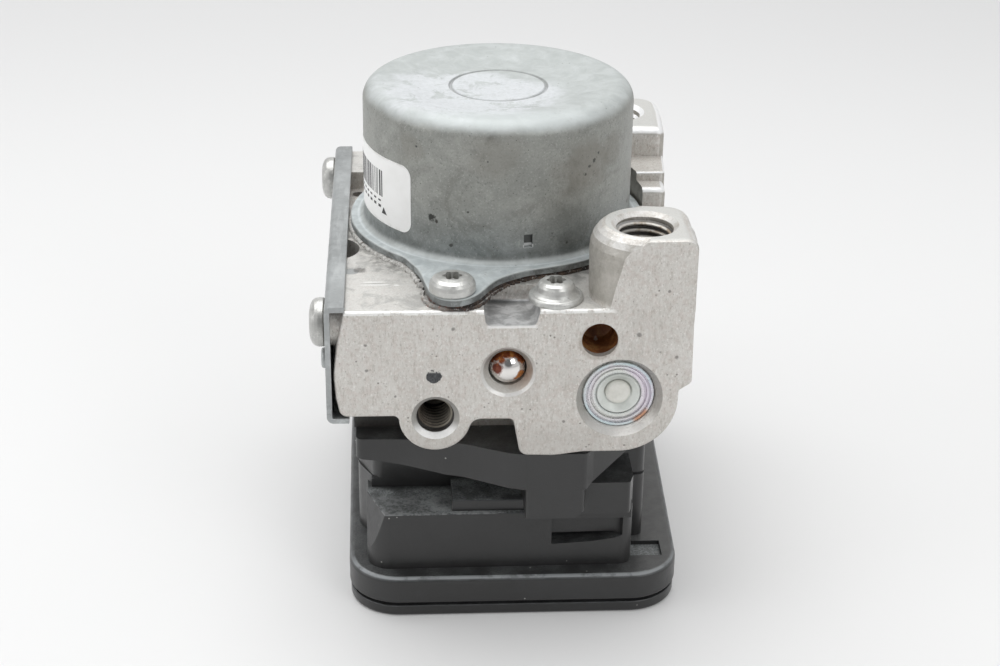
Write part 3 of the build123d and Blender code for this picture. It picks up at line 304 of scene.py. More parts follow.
    # counterbores: turned rings with painted shade above and painted light below, and a painted highlight on the lower
    # bevel
    bx, bz = 0.1, ZT - 14.2
    ballring = m.times(m.spot((bx, YF, bz), 5.20, 5.35, axes=(1, 0, 1)), m.rng(m.y, (YF + 0.35) * MM, (YF + 0.75) * MM), m.rng(m.y, (YF + 9) * MM, (YF + 8) * MM))
    c = m.mix(m.times(ballring, 0.75), c, m.mix(m.rng(m.z, (bz - 3) * MM, (bz + 3) * MM), (0.60, 0.585, 0.55), (0.27, 0.255, 0.23)))
    bevel = m.times(m.spot((bx, YF, bz), 5.85, 5.95, axes=(1, 0, 1)), m.rng(m.y, (YF + 0.04) * MM, (YF + 0.10) * MM), m.rng(m.y, (YF + 0.75) * MM, (YF + 0.6) * MM))
    c = m.mix(m.times(bevel, 0.6), c, m.mix(m.rng(m.z, (bz - 4) * MM, (bz + 2) * MM), (0.86, 0.86, 0.85), (0.52, 0.51, 0.49)))
    rust1 = m.times(ballring, m.spot((2.2, YF, bz - 1.0), 2.6, 4.6, ragged=1.2, scale=500, axes=(1, 0, 1)), 0.35)
    c = m.mix(rust1, c, (0.30, 0.15, 0.06))
    # mouth of the plug bore: turned cone, painted highlight below and painted shade above
    px, pz = 23.7, ZT - 20.7
    cone = m.times(m.spot((px, YF, pz), 9.15, 9.3, axes=(1, 0, 1)), m.rng(m.y, (YF + 0.04) * MM, (YF + 0.12) * MM), m.rng(m.y, (YF + 4) * MM, (YF + 3) * MM))
    c = m.mix(m.times(cone, 0.55), c, m.mix(m.rng(m.z, (pz - 8) * MM, (pz - 2) * MM), (0.80, 0.795, 0.78), (0.30, 0.285, 0.255)))
    start = m.op("SUBTRACT", m.y, m.rng(m.z, (ZT - 7.5) * MM, (ZT - 10.2) * MM, (YF + 0.35) * MM, (YF + 1.55) * MM))
    hole = m.times(m.spot((19.1, YF, ZT - 6.95), 3.9, 4.05, axes=(1, 0.02, 1)), m.rng(start, -0.25 * MM, 0.25 * MM))
    hole_rust_and_light = m.ramp(m.noise(420, 4, 0.6), [(0.3, (0.18, 0.062, 0.018)), (0.5, (0.30, 0.108, 0.028)), (0.72, (0.52, 0.29, 0.09))])
    # painted shade: the hole's rust darkens towards its top
    hole_rust_and_light = m.mix(m.rng(m.z, (ZT - 6.0) * MM, (ZT - 4.0) * MM, 0.0, 0.8), hole_rust_and_light, (0.020, 0.009, 0.005))
    # painted highlight: a pale spot at the hole's blind end
    hole_rust_and_light = m.mix(m.spot((19.1, YF + 8.3, ZT - 10.5), 0.40, 0.62, ragged=0.15, scale=900, axes=(1, 0.6, 1)), hole_rust_and_light, (0.98, 0.95, 0.90))
    c = m.mix(m.op("MULTIPLY", hole, 0.96), c, hole_rust_and_light)
    halo = m.times(m.spot((18.8, YF, ZT - 7.4), 3.8, 4.5, ragged=0.4, axes=(1, 0.5, 1)), m.rng(m.y, (YF + 1.0) * MM, (YF - 0.2) * MM, 0.0, 1.0), 0.35)
    c = m.mix(halo, c, (0.22, 0.17, 0.12))
    # M8 bore: thread roots painted near-black as shade, crests painted lighter to the right as painted light
    m8 = m.times(m.spot((-15.1, YF, ZT - 24.8), 3.95, 4.2, axes=(1, 0, 1)), m.rng(m.y, (YF + 0.8) * MM, (YF + 1.6) * MM), m.rng(m.y, (YF + 17) * MM, (YF + 16) * MM))
    crest = m.spot((-15.1, YF, ZT - 24.8), 3.50, 3.75, axes=(1, 0, 1))
    c = m.mix(m.op("MULTIPLY", m8, 0.92), c, m.mix(crest, (0.012, 0.009, 0.007), m.mix(m.rng(m.x, -17.5 * MM, -12.0 * MM), (0.10, 0.08, 0.06), (0.30, 0.27, 0.22))))
    # painted highlight on the lower part of the M8 countersink, painted shade above
    m8c = m.times(m.spot((-15.1, YF, ZT - 24.8), 5.15, 5.25, axes=(1, 0, 1)), m.rng(m.y, (YF + 0.03) * MM, (YF + 0.12) * MM), m.rng(m.y, (YF + 1.5) * MM, (YF + 1.35) * MM))
    c = m.mix(m.op("MULTIPLY", m8c, 0.85), c, m.mix(m.rng(m.z, (ZT - 25.5) * MM, (ZT - 28.3) * MM), (0.36, 0.35, 0.33), (0.97, 0.97, 0.96)))
    # M12 port: thread roots painted near-black as shade, crests lighter towards the mouth as painted light, with rust
    # and wear tints
    m12 = m.times(m.spot((28.6, -39.1, ZT + 8), 5.9, 6.2, axes=(1, 1, 0)), m.rng(m.z, (ZT + 14.6) * MM, (ZT + 13.0) * MM), m.rng(m.z, ZT * MM, (ZT + 1) * MM))
    crest12 = m.times(m.spot((28.6, -39.1, ZT + 8), 5.50, 5.78, axes=(1, 1, 0)), m.rng(m.z, (ZT + 6) * MM, (ZT + 12) * MM, 0.25, 1.0))
    lit_crest_wear = m.mix(m.rng(m.noise(330, 3, 0.6), 0.46, 0.60), (0.60, 0.58, 0.54), (0.34, 0.27, 0.20))
    c = m.mix(m.op("MULTIPLY", m12, 0.93), c, m.mix(crest12, (0.016, 0.013, 0.011), lit_crest_wear))
    # a black paint dot on the front face, scuffed along its upper edge
    dot = m.spot((-15.4, YF, ZT - 14.9), 1.55, 1.70, ragged=0.35, scale=1500)
    scuff = m.times(m.rng(m.z, (ZT - 14.3) * MM, (ZT - 13.7) * MM), m.rng(m.noise(1500, 2, 0.6), 0.44, 0.52))
    dot = m.times(dot, m.op("SUBTRACT", 1.0, scuff, clamp=True), m.rng(m.ny, -0.9, -0.7, 1.0, 0.0))
    c = m.mix(m.op("MULTIPLY", dot, 0.97), c, m.mix(m.rng(grain, 0.4, 0.62), (0.020, 0.022, 0.026), (0.060, 0.065, 0.070)))
    # stray marks: small dark nicks, and the spots on the rear step and beside the bracket
    for p, r in (((-11.4, YF, ZT - 4.0), 0.45), ((-37.2, YF, ZT - 2.0), 0.7), ((-29.5, -10.5, ZT), 1.0), ((-31.9, 27.6, ZT - 4), 2.0),
                 ((12.0, YF, ZT - 26.0), 0.4), ((-29.5, YF, ZT - 7.5), 0.35), ((-29.4, YF, ZT - 13.4), 0.4), ((27.2, YF, ZT - 5.8), 0.6),
                 ((35.3, YF, ZT - 11.2), 0.45), ((-30.8, -27.0, ZT), 1.5), ((33.0, YF, ZT + 4.0), 0.4), ((-23.5, YF, ZT - 19.5), 0.3)):
        c = m.mix(m.op("MULTIPLY", m.spot(p, r * 0.5, r * 1.2, ragged=r * 0.6, scale=1600), 0.65), c, (0.12, 0.11, 0.10))
    dark = m.most(dot, hole)
    met = m.mixf(m.op("MULTIPLY", m.most(dark, pit), 0.9, clamp=True), 0.45, 0.0)
    rough = m.mixf(m.rng(grain, 0.4, 0.65), 0.55, 0.36)
    rough = m.mixf(m.most(cone, bevel, cut), rough, 0.28)
    rough = m.mixf(hole, m.mixf(dot, rough, 0.6), 0.18)
    n = m.bump(grain, 0.42, 0.00022)
    n = m.bump(m.noise(900, 3, 0.6), 0.22, 0.0004, n)
    n = m.bump(m.op("MULTIPLY", pit, -1.0), 0.5, 0.0003, n)
    return m.done(c, rough, n, met)


def can_material():
    m = Mat("zinc_can", metallic=0.5, rough=0.45)
    big = m.noise(55, 4, 0.6)
    mid = m.noise(260, 5, 0.65, dist=0.6)
    fine = m.noise(1500, 3, 0.65)
    side = m.ramp(big, [(0.30, (0.225, 0.231, 0.213)), (0.5, (0.290, 0.297, 0.276)), (0.72, (0.350, 0.352, 0.328))])
    side = m.mix(m.rng(mid, 0.45, 0.72, 0.0, 0.50), side, (0.42, 0.425, 0.40))
    side = m.mix(m.rng(mid, 0.46, 0.26, 0.0, 0.45), side, (0.155, 0.162, 0.150))
    # the lower half of the wall is bluer and darker
    side = m.mix(m.rng(m.z, (ZT + 17) * MM, (ZT + 4) * MM, 0.0, 0.62), side, m.mix(m.rng(mid, 0.3, 0.7), (0.160, 0.180, 0.185), (0.285, 0.315, 0.322)))
    # drawing marks run down the wall
    draw = m.noise(700, 3, 0.6, stretch=(1.0, 1.0, 0.05))
    side = m.mix(m.rng(draw, 0.45, 0.7, 0.0, 0.05), side, (0.40, 0.41, 0.40))
    # darker stains on the wall
    stain = m.rng(m.noise(90, 5, 0.7, dist=1.2, shift=(0.3, 0.1, 0.05)), 0.56, 0.68)
    side = m.mix(m.op("MULTIPLY", stain, 0.35), side, (0.165, 0.163, 0.147))
    sand = m.noise(2100, 3, 0.7)
    side = m.mix(m.rng(sand, 0.56, 0.70, 0.0, 0.45), side, (0.50, 0.505, 0.48))
    side = m.mix(m.rng(sand, 0.44, 0.30, 0.0, 0.45), side, (0.145, 0.148, 0.138))
    pepper, _ = m.cells(900)
    side = m.mix(m.times(m.rng(pepper, 0.06, 0.15, 1.0, 0.0), m.rng(m.noise(210, 3, 0.6), 0.48, 0.56), 0.75), side, (0.06, 0.06, 0.055))
    smear = m.noise(620, 5, 0.75, dist=1.5)
    side = m.mix(m.rng(smear, 0.56, 0.72, 0.0, 0.40), side, (0.17, 0.173, 0.16))
    side = m.mix(m.rng(smear, 0.42, 0.26, 0.0, 0.35), side, (0.48, 0.485, 0.465))
    # brown stain high on the right of the wall, and soot under the shoulder
    for q, r0, r1, k in (((17.5, -24.5, ZT + 22.5), 3.0, 9.0, 0.50), ((24.0, -18.0, ZT + 24.0), 1.5, 5.0, 0.35), ((-2.0, -30.0, ZT + 26.5), 2.0, 8.0, 0.30),
                         ((-20.0, -22.5, ZT + 26.0), 1.0, 5.0, 0.30)):
        side = m.mix(m.op("MULTIPLY", m.spot(q, r0, r1, ragged=4.5, scale=240), k), side, (0.185, 0.170, 0.142))
    freckle = m.times(m.rng(fine, 0.60, 0.68), m.rng(m.noise(150, 3, 0.6), 0.42, 0.58))
    side = m.mix(m.op("MULTIPLY", freckle, 0.45), side, (0.075, 0.078, 0.075))
    top_c = m.ramp(mid, [(0.30, (0.385, 0.408, 0.400)), (0.52, (0.445, 0.470, 0.462)), (0.75, (0.52, 0.545, 0.542))])
    # white bloom round the pressed circle, strongest in front of it and to its left
    bloom = m.times(m.spot((-7.0, -7.0, ZT + 32.6), 13.0, 19.0, ragged=8.0, scale=130, axes=(0.85, 1, 0.6)),
                    m.rng(m.noise(170, 5, 0.72, dist=0.5), 0.36, 0.47))
    crackle = m.rng(m.noise(900, 4, 0.8), 0.34, 0.60, 0.6, 1.0)
    top_c = m.mix(m.times(bloom, crackle, 0.75), top_c, (0.655, 0.67, 0.695))
    top_c = m.mix(m.times(m.rng(m.y, -17 * MM, -25 * MM), 0.45), top_c, (0.62, 0.66, 0.66))
    top_c = m.mix(m.rng(m.noise(480, 4, 0.7, shift=(0.4, 0.2, 0.1)), 0.58, 0.74, 0.0, 0.35), top_c, (0.33, 0.335, 0.32))
    speck, _ = m.cells(480)
    dots = m.times(m.rng(speck, 0.05, 0.13, 1.0, 0.0), m.rng(m.noise(110, 3, 0.6), 0.56, 0.62))
    ragged = m.op("ADD", m.nz, m.op("MULTIPLY", m.op("SUBTRACT", m.noise(150, 3, 0.55), 0.5), 0.45))
    up = m.rng(ragged, 0.24, 0.80)
    # upward faces take the lighter top colour: white corrosion and dust, and partly painted light on what faces up
    c = m.mix(up, side, top_c)
    # the flange is brighter than the wall, and bluish
    fl = m.times(m.rng(m.z, (ZT + 4.4) * MM, (ZT + 3.2) * MM), m.rng(m.nz, 0.86, 0.975))
    rad = m.vec("LENGTH", m.vec("MULTIPLY", m.co, (1.0, 1.0, 0.0)))
    c = m.mix(m.op("MULTIPLY", fl, 0.9), c, m.mix(m.rng(mid, 0.35, 0.7), (0.46, 0.505, 0.515), (0.64, 0.685, 0.69)))
    rimc = m.times(m.rng(m.z, (ZT + 2.55) * MM, (ZT + 2.2) * MM), m.rng(m.nz, 0.5, 0.2))
    c = m.mix(m.op("MULTIPLY", rimc, 0.6), c, m.mix(m.rng(mid, 0.4, 0.62), (0.16, 0.165, 0.165), (0.42, 0.45, 0.455)))
    c = m.mix(m.op("MULTIPLY", dots, 0.6), c, (0.14, 0.14, 0.135))
    # a darker, patchy band in the corner where the wall meets the flange
    foot = m.times(m.band(m.z, ZT + 2.6, ZT + 5.2, 1.0), m.rng(m.noise(300, 4, 0.6), 0.3, 0.65))
    c = m.mix(m.op("MULTIPLY", foot, 0.35), c, (0.10, 0.105, 0.10))
    glint = m.times(m.band(rad, 31.25, 31.65, 0.15), m.rng(m.z, (ZT + 4.6) * MM, (ZT + 3.8) * MM), m.rng(m.nz, 0.3, 0.7), m.rng(m.noise(300, 3, 0.6), 0.3, 0.55, 0.4, 1.0))
    c = m.mix(m.op("MULTIPLY", glint, 0.40), c, (0.74, 0.78, 0.79))
    # dark line in the pressed circle's groove
    ringm = m.times(m.spot((0, 0, ZT + 32.2), 10.95, 11.1, axes=(1, 1, 0)), m.op("SUBTRACT", 1.0, m.spot((0, 0, ZT), 10.2, 10.35, axes=(1, 1, 0))), m.rng(m.z, (ZT + 30) * MM, (ZT + 31) * MM))
    c = m.mix(m.times(ringm, m.rng(m.noise(200, 3, 0.6), 0.3, 0.6, 0.5, 1.0), 0.65), c, (0.21, 0.215, 0.21))
    # chips and marks seen on the wall
    R = 30.0
    for ang, h, r, col in ((-120.6, 11.7, 1.20, (0.016, 0.016, 0.014)), (-118.4, 10.9, 0.6, (0.04, 0.035, 0.028)), (-50.0, 23.3, 0.60, (0.06, 0.06, 0.055)), (-52.5, 22.2, 0.45, (0.07, 0.07, 0.065)),
                           (-47.5, 24.6, 0.38, (0.07, 0.07, 0.068)), (-54.5, 20.6, 0.35, (0.08, 0.08, 0.07)), (-18.5, 8.7, 0.8, (0.08, 0.075, 0.065)),
                           (-97.0, 25.6, 0.30, (0.08, 0.08, 0.08)), (-63.0, 5.9, 0.35, (0.08, 0.08, 0.075)), (20.0, 14.0, 0.9, (0.07, 0.06, 0.05)),
                           (-128.0, 26.9, 0.35, (0.06, 0.06, 0.06)), (-112.0, 6.0, 0.5, (0.06, 0.06, 0.055)), (-105.0, 14.0, 0.3, (0.07, 0.07, 0.065)),
                           (75.0, 19.0, 0.6, (0.07, 0.07, 0.07)), (118.0, 10.5, 0.8, (0.06, 0.06, 0.06))):
        a = math.radians(ang)
        p = (R * math.cos(a), R * math.sin(a), ZT + h)
        c = m.mix(m.op("MULTIPLY", m.spot(p, r * 0.45, r * 0.95, ragged=r * 0.95, scale=1300), 0.9), c, col)
    # the punched mark: painted shade inside and a painted highlight on the lower lip
    a = math.radians(-80.2)
    pm = (R * math.cos(a), R * math.sin(a), ZT + 7.5)
    inside = m.times(m.spot(pm, 0.95, 1.0, axes=(1, 0, 0)), m.band(m.z, ZT + 6.35, ZT + 8.95, 0.05), m.spot(pm, 2.0, 2.1, axes=(0, 1, 0)),
                     m.rng(m.vec("LENGTH", m.vec("MULTIPLY", m.co, (1.0, 1.0, 0.0))), 29.95 * MM, 29.85 * MM))
    c = m.mix(m.op("MULTIPLY", inside, 0.85), c, (0.075, 0.078, 0.076))
    c = m.mix(m.times(m.spot(pm, 1.05, 1.15, axes=(1, 0, 0)), m.band(m.z, ZT + 6.1, ZT + 6.75, 0.12), m.spot(pm, 2.2, 2.4, axes=(0, 1, 0)), 0.85), c, (0.80, 0.81, 0.81))
    # white dry streaks low on the wall
    salt = m.times(m.rng(m.noise(520, 4, 0.7, stretch=(1, 1, 0.45), shift=(0.1, 0.5, 0.2)), 0.60, 0.70), m.rng(m.z, (ZT + 20) * MM, (ZT + 4) * MM))
    c = m.mix(m.op("MULTIPLY", salt, 0.30), c, (0.50, 0.52, 0.51))
    met = m.mixf(m.most(m.op("MULTIPLY", up, 0.8), dots), 0.5, 0.1)
    rough = m.mixf(m.rng(mid, 0.35, 0.7), 0.38, 0.52)
    rough = m.mixf(up, rough, 0.58)
    n = m.bump(fine, 0.16, 0.0002)
    n = m.bump(mid, 0.16, 0.0006, n)
    n = m.bump(draw, 0.04, 0.0003, n)
    return m.done(c, rough, n, met)


def zinc(name, base, tint, metallic=0.6, rough=0.38, grime=0.4):
    """Zinc plated steel with fine mottling and grime in low spots."""
    m = Mat(name, metallic=metallic, rough=rough)
    big = m.noise(120, 4, 0.6)
    mid = m.noise(650, 4, 0.65, dist=0.5)
    c = m.ramp(big, [(0.3, grey(base * 0.82, tint)), (0.5, grey(base, tint)), (0.72, grey(base * 1.12, tint))])
    c = m.mix(m.rng(mid, 0.5, 0.75, 0.0, 0.5), c, grey(min(base * 1.28, 0.9), tint))
    c = m.mix(m.rng(mid, 0.42, 0.25, 0.0, grime), c, grey(base * 0.4, tint))
    n = m.bump(m.noise(2200, 3, 0.6), 0.14, 0.0002)
    n = m.bump(mid, 0.14, 0.0003, n)
    return m, c, n


def bracket_material():
    m, c, n = zinc("bracket_zinc", 0.43, (0.96, 1.0, 1.0), 0.65, 0.36, 0.45)
    # rub marks, and patchy darkening low on the web and along its lower hem
    low = m.times(m.rng(m.z, (ZT - 17) * MM, (ZT - 25) * MM), m.rng(m.noise(420, 4, 0.7), 0.42, 0.62))
    c = m.mix(m.op("MULTIPLY", low, 0.6), c, (0.10, 0.105, 0.105))
    streak = m.rng(m.noise(260, 4, 0.65, stretch=(1, 0.16, 1)), 0.56, 0.68)
    c = m.mix(m.op("MULTIPLY", streak, 0.35), c, (0.66, 0.68, 0.68))
    rough = m.mixf(m.rng(m.noise(300, 3, 0.6), 0.35, 0.7), 0.30, 0.46)
    return m.done(c, rough, n)


def screw_material():
    m, c, n = zinc("screw_steel", 0.52, (1.0, 1.0, 0.965), 0.55, 0.33, 0.55)
    white = m.rng(m.noise(900, 4, 0.7), 0.52, 0.66)
    c = m.mix(m.op("MULTIPLY", white, 0.45), c, (0.80, 0.80, 0.775))
    # painted shade: darker where ambient occlusion finds recesses
    ao = m.t.nodes.new("ShaderNodeAmbientOcclusion")
    ao.inputs["Distance"].default_value = 0.0016
    ao.samples = 6
    c = m.mix(m.rng(ao.outputs["AO"], 0.75, 0.35, 0.0, 0.8), c, (0.16, 0.15, 0.13))
    return m.done(c, m.mixf(white, 0.30, 0.55), n)


def ball_material():
    m = Mat("ball_steel", metallic=1.0, rough=0.08)
    n1 = m.noise(380, 4, 0.6, dist=0.7)
    by, bz = YF + 4.2, ZT - 14.2
    # rust creeps in from the top left, round the top and along the lower right
    rd = m.vec("LENGTH", m.vec("MULTIPLY", m.vec("SUBTRACT", m.co, (0.1 * MM, 0.0, bz * MM)), (1.0, 0.0, 1.0)))
    wob = m.op("MULTIPLY", m.op("SUBTRACT", m.noise(520, 4, 0.65), 0.5), 2.6 * MM)
    arc = m.times(m.rng(m.op("ADD", rd, wob), 2.8 * MM, 3.2 * MM), m.rng(m.op("ADD", m.z, wob), (bz + 0.2) * MM, (bz + 1.4) * MM))
    tl = m.spot((-2.2, YF + 1.3, bz + 0.5), 1.0, 1.7, ragged=0.9, scale=620)
    tm = m.spot((-1.0, YF + 1.5, bz + 2.1), 0.5, 1.3, ragged=0.9, scale=620)
    br = m.spot((2.85, YF + 1.5, bz - 1.4), 0.9, 1.5, ragged=0.9, scale=620)
    br2 = m.spot((1.7, YF + 1.0, bz - 1.9), 0.3, 0.8, ragged=0.5, scale=620)
    rim = m.times(m.rng(m.y, (by - 1.3) * MM, (by - 0.4) * MM), 0.85)
    mask = m.most(arc, tl, tm, br, br2, rim)
    rust = m.ramp(m.noise(560, 4, 0.6), [(0.28, (0.075, 0.014, 0.006)), (0.5, (0.24, 0.060, 0.016)), (0.70, (0.60, 0.27, 0.07))])
    rust = m.mix(m.times(tl, m.rng(m.z, (bz + 1.8) * MM, (bz + 0.6) * MM), 0.8), rust, (0.135, 0.030, 0.020))
    rust = m.mix(m.times(br, 0.55), rust, (0.62, 0.24, 0.05))
    c = m.mix(mask, (0.78, 0.76, 0.74), rust)
    n = m.bump(m.noise(1200, 3, 0.6), 0.03, 0.0002)
    return m.done(c, m.mixf(mask, 0.06, 0.24), n, m.mixf(mask, 1.0, 0.45))


def plug_material():
    m = Mat("plug_zinc", metallic=0.75, rough=0.28)
    fx, fz = 23.7, ZT - 20.7
    v = m.vec("SUBTRACT", m.co, (fx * MM, 0.0, fz * MM))
    v = m.vec("MULTIPLY", v, (1.0, 0.0, 1.0))
    d = m.vec("LENGTH", v)
    front = m.rng(m.y, 0.0, -0.010)
    ringv = m.op("MULTIPLY_ADD", m.op("SINE", m.op("MULTIPLY", d, 11000.0)), 0.5, 0.5)
    # thin yellow, green and violet film, strongest to the right
    wob = m.op("ADD", m.op("MULTIPLY", d, 210.0), m.op("MULTIPLY", m.noise(130, 3, 0.6), 0.9))
    hue = m.ramp(m.op("FRACT", wob), [(0.0, (0.78, 0.82, 0.86)), (0.22, (0.73, 0.83, 0.85)), (0.42, (0.79, 0.84, 0.81)),
                                        (0.6, (0.84, 0.83, 0.76)), (0.78, (0.82, 0.75, 0.81)), (1.0, (0.78, 0.80, 0.86))])
    lilac = m.times(front, m.spot((28.6, YF, fz + 1.5), 2.0, 5.5, ragged=1.0, scale=220, axes=(1, 0, 0.7)), m.rng(d, 4.6 * MM, 5.2 * MM))
    c = m.mix(m.rng(d, 4.0 * MM, 6.0 * MM, 0.15, 0.5), (0.60, 0.63, 0.62), hue)
    lilac = m.most(lilac, m.times(front, m.spot((19.2, YF, fz + 0.5), 1.0, 3.0, ragged=0.8, scale=220, axes=(1, 0, 0.6)), m.rng(d, 4.9 * MM, 5.6 * MM), 0.45))
    c = m.mix(m.op("MULTIPLY", lilac, 0.50), c, (0.80, 0.69, 0.83))
    aqua = m.times(front, m.band(d, 6.95, 7.6, 0.1), m.rng(m.noise(160, 3, 0.6), 0.42, 0.55))
    c = m.mix(m.op("MULTIPLY", aqua, 0.5), c, (0.52, 0.70, 0.74))
    c = m.mix(m.times(front, m.rng(ringv, 0.1, 0.9, 0.16, 0.0), m.rng(d, 4.7 * MM, 4.9 * MM)), c, (0.33, 0.34, 0.355))
    # flat inner ring, pale
    flat = m.times(front, m.rng(d, 4.75 * MM, 4.65 * MM), m.rng(d, 2.7 * MM, 2.9 * MM))
    c = m.mix(m.op("MULTIPLY", flat, 0.85), c, m.mix(m.rng(m.noise(300, 3, 0.6), 0.35, 0.65), (0.70, 0.73, 0.69), (0.81, 0.835, 0.80)))
    # painted shade on the upper part of the dish
    dish_shade = m.times(front, m.rng(d, 4.55 * MM, 4.45 * MM), m.rng(d, 2.8 * MM, 2.9 * MM), m.rng(m.z, (fz + 1.0) * MM, (fz + 4.0) * MM, 0.0, 0.35))
    c = m.mix(dish_shade, c, (0.34, 0.35, 0.325))
    for r, k in ((4.73, 0.7), (5.82, 0.28), (6.7, 0.35)):
        c = m.mix(m.times(front, m.band(d, r - 0.10, r + 0.10, 0.08), k), c, (0.16, 0.16, 0.155))
    # painted shade in the gap round the button, strongest at the top
    gap_shade = m.times(front, m.spot((fx, YF, fz), 3.0, 3.1, axes=(1, 0, 1)), m.rng(m.z, (fz - 1.5) * MM, (fz + 1.0) * MM, 0.10, 0.65))
    c = m.mix(gap_shade, c, (0.20, 0.195, 0.165))
    # orange tint at the lower right of the front plug
    tint = m.times(m.spot((28.6, YF + 2.2, fz - 5.2), 1.2, 2.8, ragged=0.9, scale=360), m.rng(d, 6.6 * MM, 7.1 * MM), 0.8)
    c = m.mix(tint, c, (0.58, 0.24, 0.09))
    grime = m.times(m.rng(d, 7.3 * MM, 7.7 * MM), m.rng(m.noise(500, 3, 0.6), 0.3, 0.6), 0.6)
    c = m.mix(grime, c, (0.12, 0.105, 0.08))
    n = m.bump(ringv, 0.12, 0.00015)
    n = m.bump(m.noise(1500, 3, 0.6), 0.08, 0.0002, n)
    pale = m.times(front, m.rng(d, 4.75 * MM, 4.65 * MM))
    return m.done(c, m.mixf(pale, m.mixf(m.rng(m.noise(600, 3, 0.6), 0.35, 0.65), 0.20, 0.36), 0.45), n, m.mixf(pale, 0.75, 0.25))


def button_material():
    m = Mat("button_white", rough=0.5)
    f = m.noise(500, 4, 0.6)
    c = m.ramp(f, [(0.3, (0.70, 0.695, 0.64)), (0.5, (0.78, 0.775, 0.72)), (0.7, (0.83, 0.825, 0.78))])
    n = m.bump(m.noise(1800, 3, 0.6), 0.15, 0.0002)
    return m.done(c, m.mixf(f, 0.4, 0.6), n)


def plastic_material(name, base, dusty=1.0, gloss=0.40):
    m = Mat(name, rough=gloss, spec=0.5, coat=0.22, coat_rough=0.28)
    big = m.noise(60, 4, 0.6)
    mid = m.noise(340, 4, 0.6)
    fine = m.noise(1700, 3, 0.6)
    c = m.ramp(big, [(0.3, grey(base * 0.85)), (0.5, grey(base)), (0.72, grey(base * 1.18, (0.98, 1.0, 1.02)))])
    c = m.mix(m.rng(mid, 0.4, 0.75, 0.0, 0.25), c, grey(base * 1.5))
    # dust lies on what faces up, thickest on the ledge, the small block and in the pocket
    up = m.rng(m.nz, 0.75, 0.97)
    grain = m.noise(2400, 3, 0.75)
    spread = m.rng(m.noise(150, 5, 0.65), 0.38, 0.66)
    ledge = m.times(m.band(m.z, 23.0, 27.2, 0.4), m.rng(m.y, -27 * MM, -30 * MM), m.rng(m.x, 10 * MM, 8 * MM))
    pocket = m.times(m.band(m.x, 29.2, 36.8, 0.2), m.band(m.y, -36.5, -30.0, 0.2), m.band(m.z, 8.2, 9.85, 0.1))
    amount = m.op("ADD", m.times(up, m.op("MULTIPLY_ADD", spread, 0.16, 0.03)),
                  m.op("ADD", m.times(up, ledge, m.op("MULTIPLY_ADD", spread, 0.62, 0.34)), m.times(up, pocket, 0.55)))
    amount = m.times(amount, m.rng(grain, 0.30, 0.68, 0.35, 1.25), dusty)
    c = m.mix(amount, c, (0.33, 0.35, 0.35))
    # single pale specks of dust and lint everywhere
    d, _ = m.cells(330)
    speck = m.times(m.rng(d, 0.035, 0.085, 1.0, 0.0), m.rng(m.noise(90, 2, 0.5), 0.50, 0.60), dusty)
    c = m.mix(m.op("MULTIPLY", speck, 0.7), c, (0.42, 0.42, 0.40))
    # edges on the slant are lighter: wear, and partly a painted highlight along the rounded edges
    wear_and_sheen = m.times(m.rng(m.nz, 0.30, 0.50), m.rng(m.nz, 0.93, 0.80), m.rng(m.noise(380, 4, 0.65), 0.30, 0.62, 0.35, 1.0))
    c = m.mix(m.op("MULTIPLY", wear_and_sheen, 0.55), c, (0.115, 0.122, 0.126))
    shine = m.times(m.band(m.z, 8.9, 10.02, 0.10), m.rng(m.nz, 0.55, 0.75), m.rng(m.nz, 0.998, 0.97), m.rng(m.y, -30 * MM, -40 * MM),
                    m.rng(m.noise(240, 4, 0.7), 0.30, 0.50, 0.4, 1.0))
    c = m.mix(m.op("MULTIPLY", shine, 0.72), c, (0.34, 0.36, 0.37))
    # the flange is paler to the right and towards the back
    lit = m.times(m.rng(m.nz, 0.9, 0.98), m.band(m.z, 9.6, 10.2, 0.2), m.rng(m.x, 24 * MM, 38 * MM))
    c = m.mix(m.op("MULTIPLY", lit, 0.7), c, m.mix(m.rng(mid, 0.35, 0.7), (0.085, 0.085, 0.083), (0.135, 0.135, 0.13)))
    # sloped left front corner of the ledge: painted darker as shade
    slope_shade = m.times(m.rng(m.x, -26 * MM, -28 * MM), m.rng(m.y, -24 * MM, -26 * MM), m.band(m.z, 10.2, 26.0, 0.3), m.band(m.op("MULTIPLY", m.nz, MM), 0.15, 0.85, 0.05),
                    m.rng(m.nx, -0.25, -0.40))
    c = m.mix(m.op("MULTIPLY", slope_shade, 0.85), c, (0.008, 0.008, 0.009))
    # dust gathers in pale grains along the ledge's front edge and on the small block
    rim = m.times(m.band(m.z, 22.6, 24.6, 0.3), m.rng(m.y, -31 * MM, -33 * MM), m.rng(m.x, 2 * MM, 0 * MM), m.rng(m.nz, 0.25, 0.6), m.rng(m.noise(700, 4, 0.75), 0.40, 0.60))
    c = m.mix(m.op("MULTIPLY", rim, 0.60), c, (0.34, 0.35, 0.35))
    # the deep shade under the overhangs is darker than bare plastic
    under = m.rng(m.nz, -0.5, -0.9)
    c = m.mix(m.op("MULTIPLY", under, 0.8), c, (0.006, 0.006, 0.006))
    rough = m.mixf(m.op("ADD", amount, m.rng(mid, 0.4, 0.7, 0.0, 0.25), clamp=True), gloss - 0.04, 0.75)
    n = m.bump(fine, 0.16, 0.00015)
    n = m.bump(m.noise(700, 3, 0.6), 0.06, 0.0004, n)
    return m.done(c, rough, n)


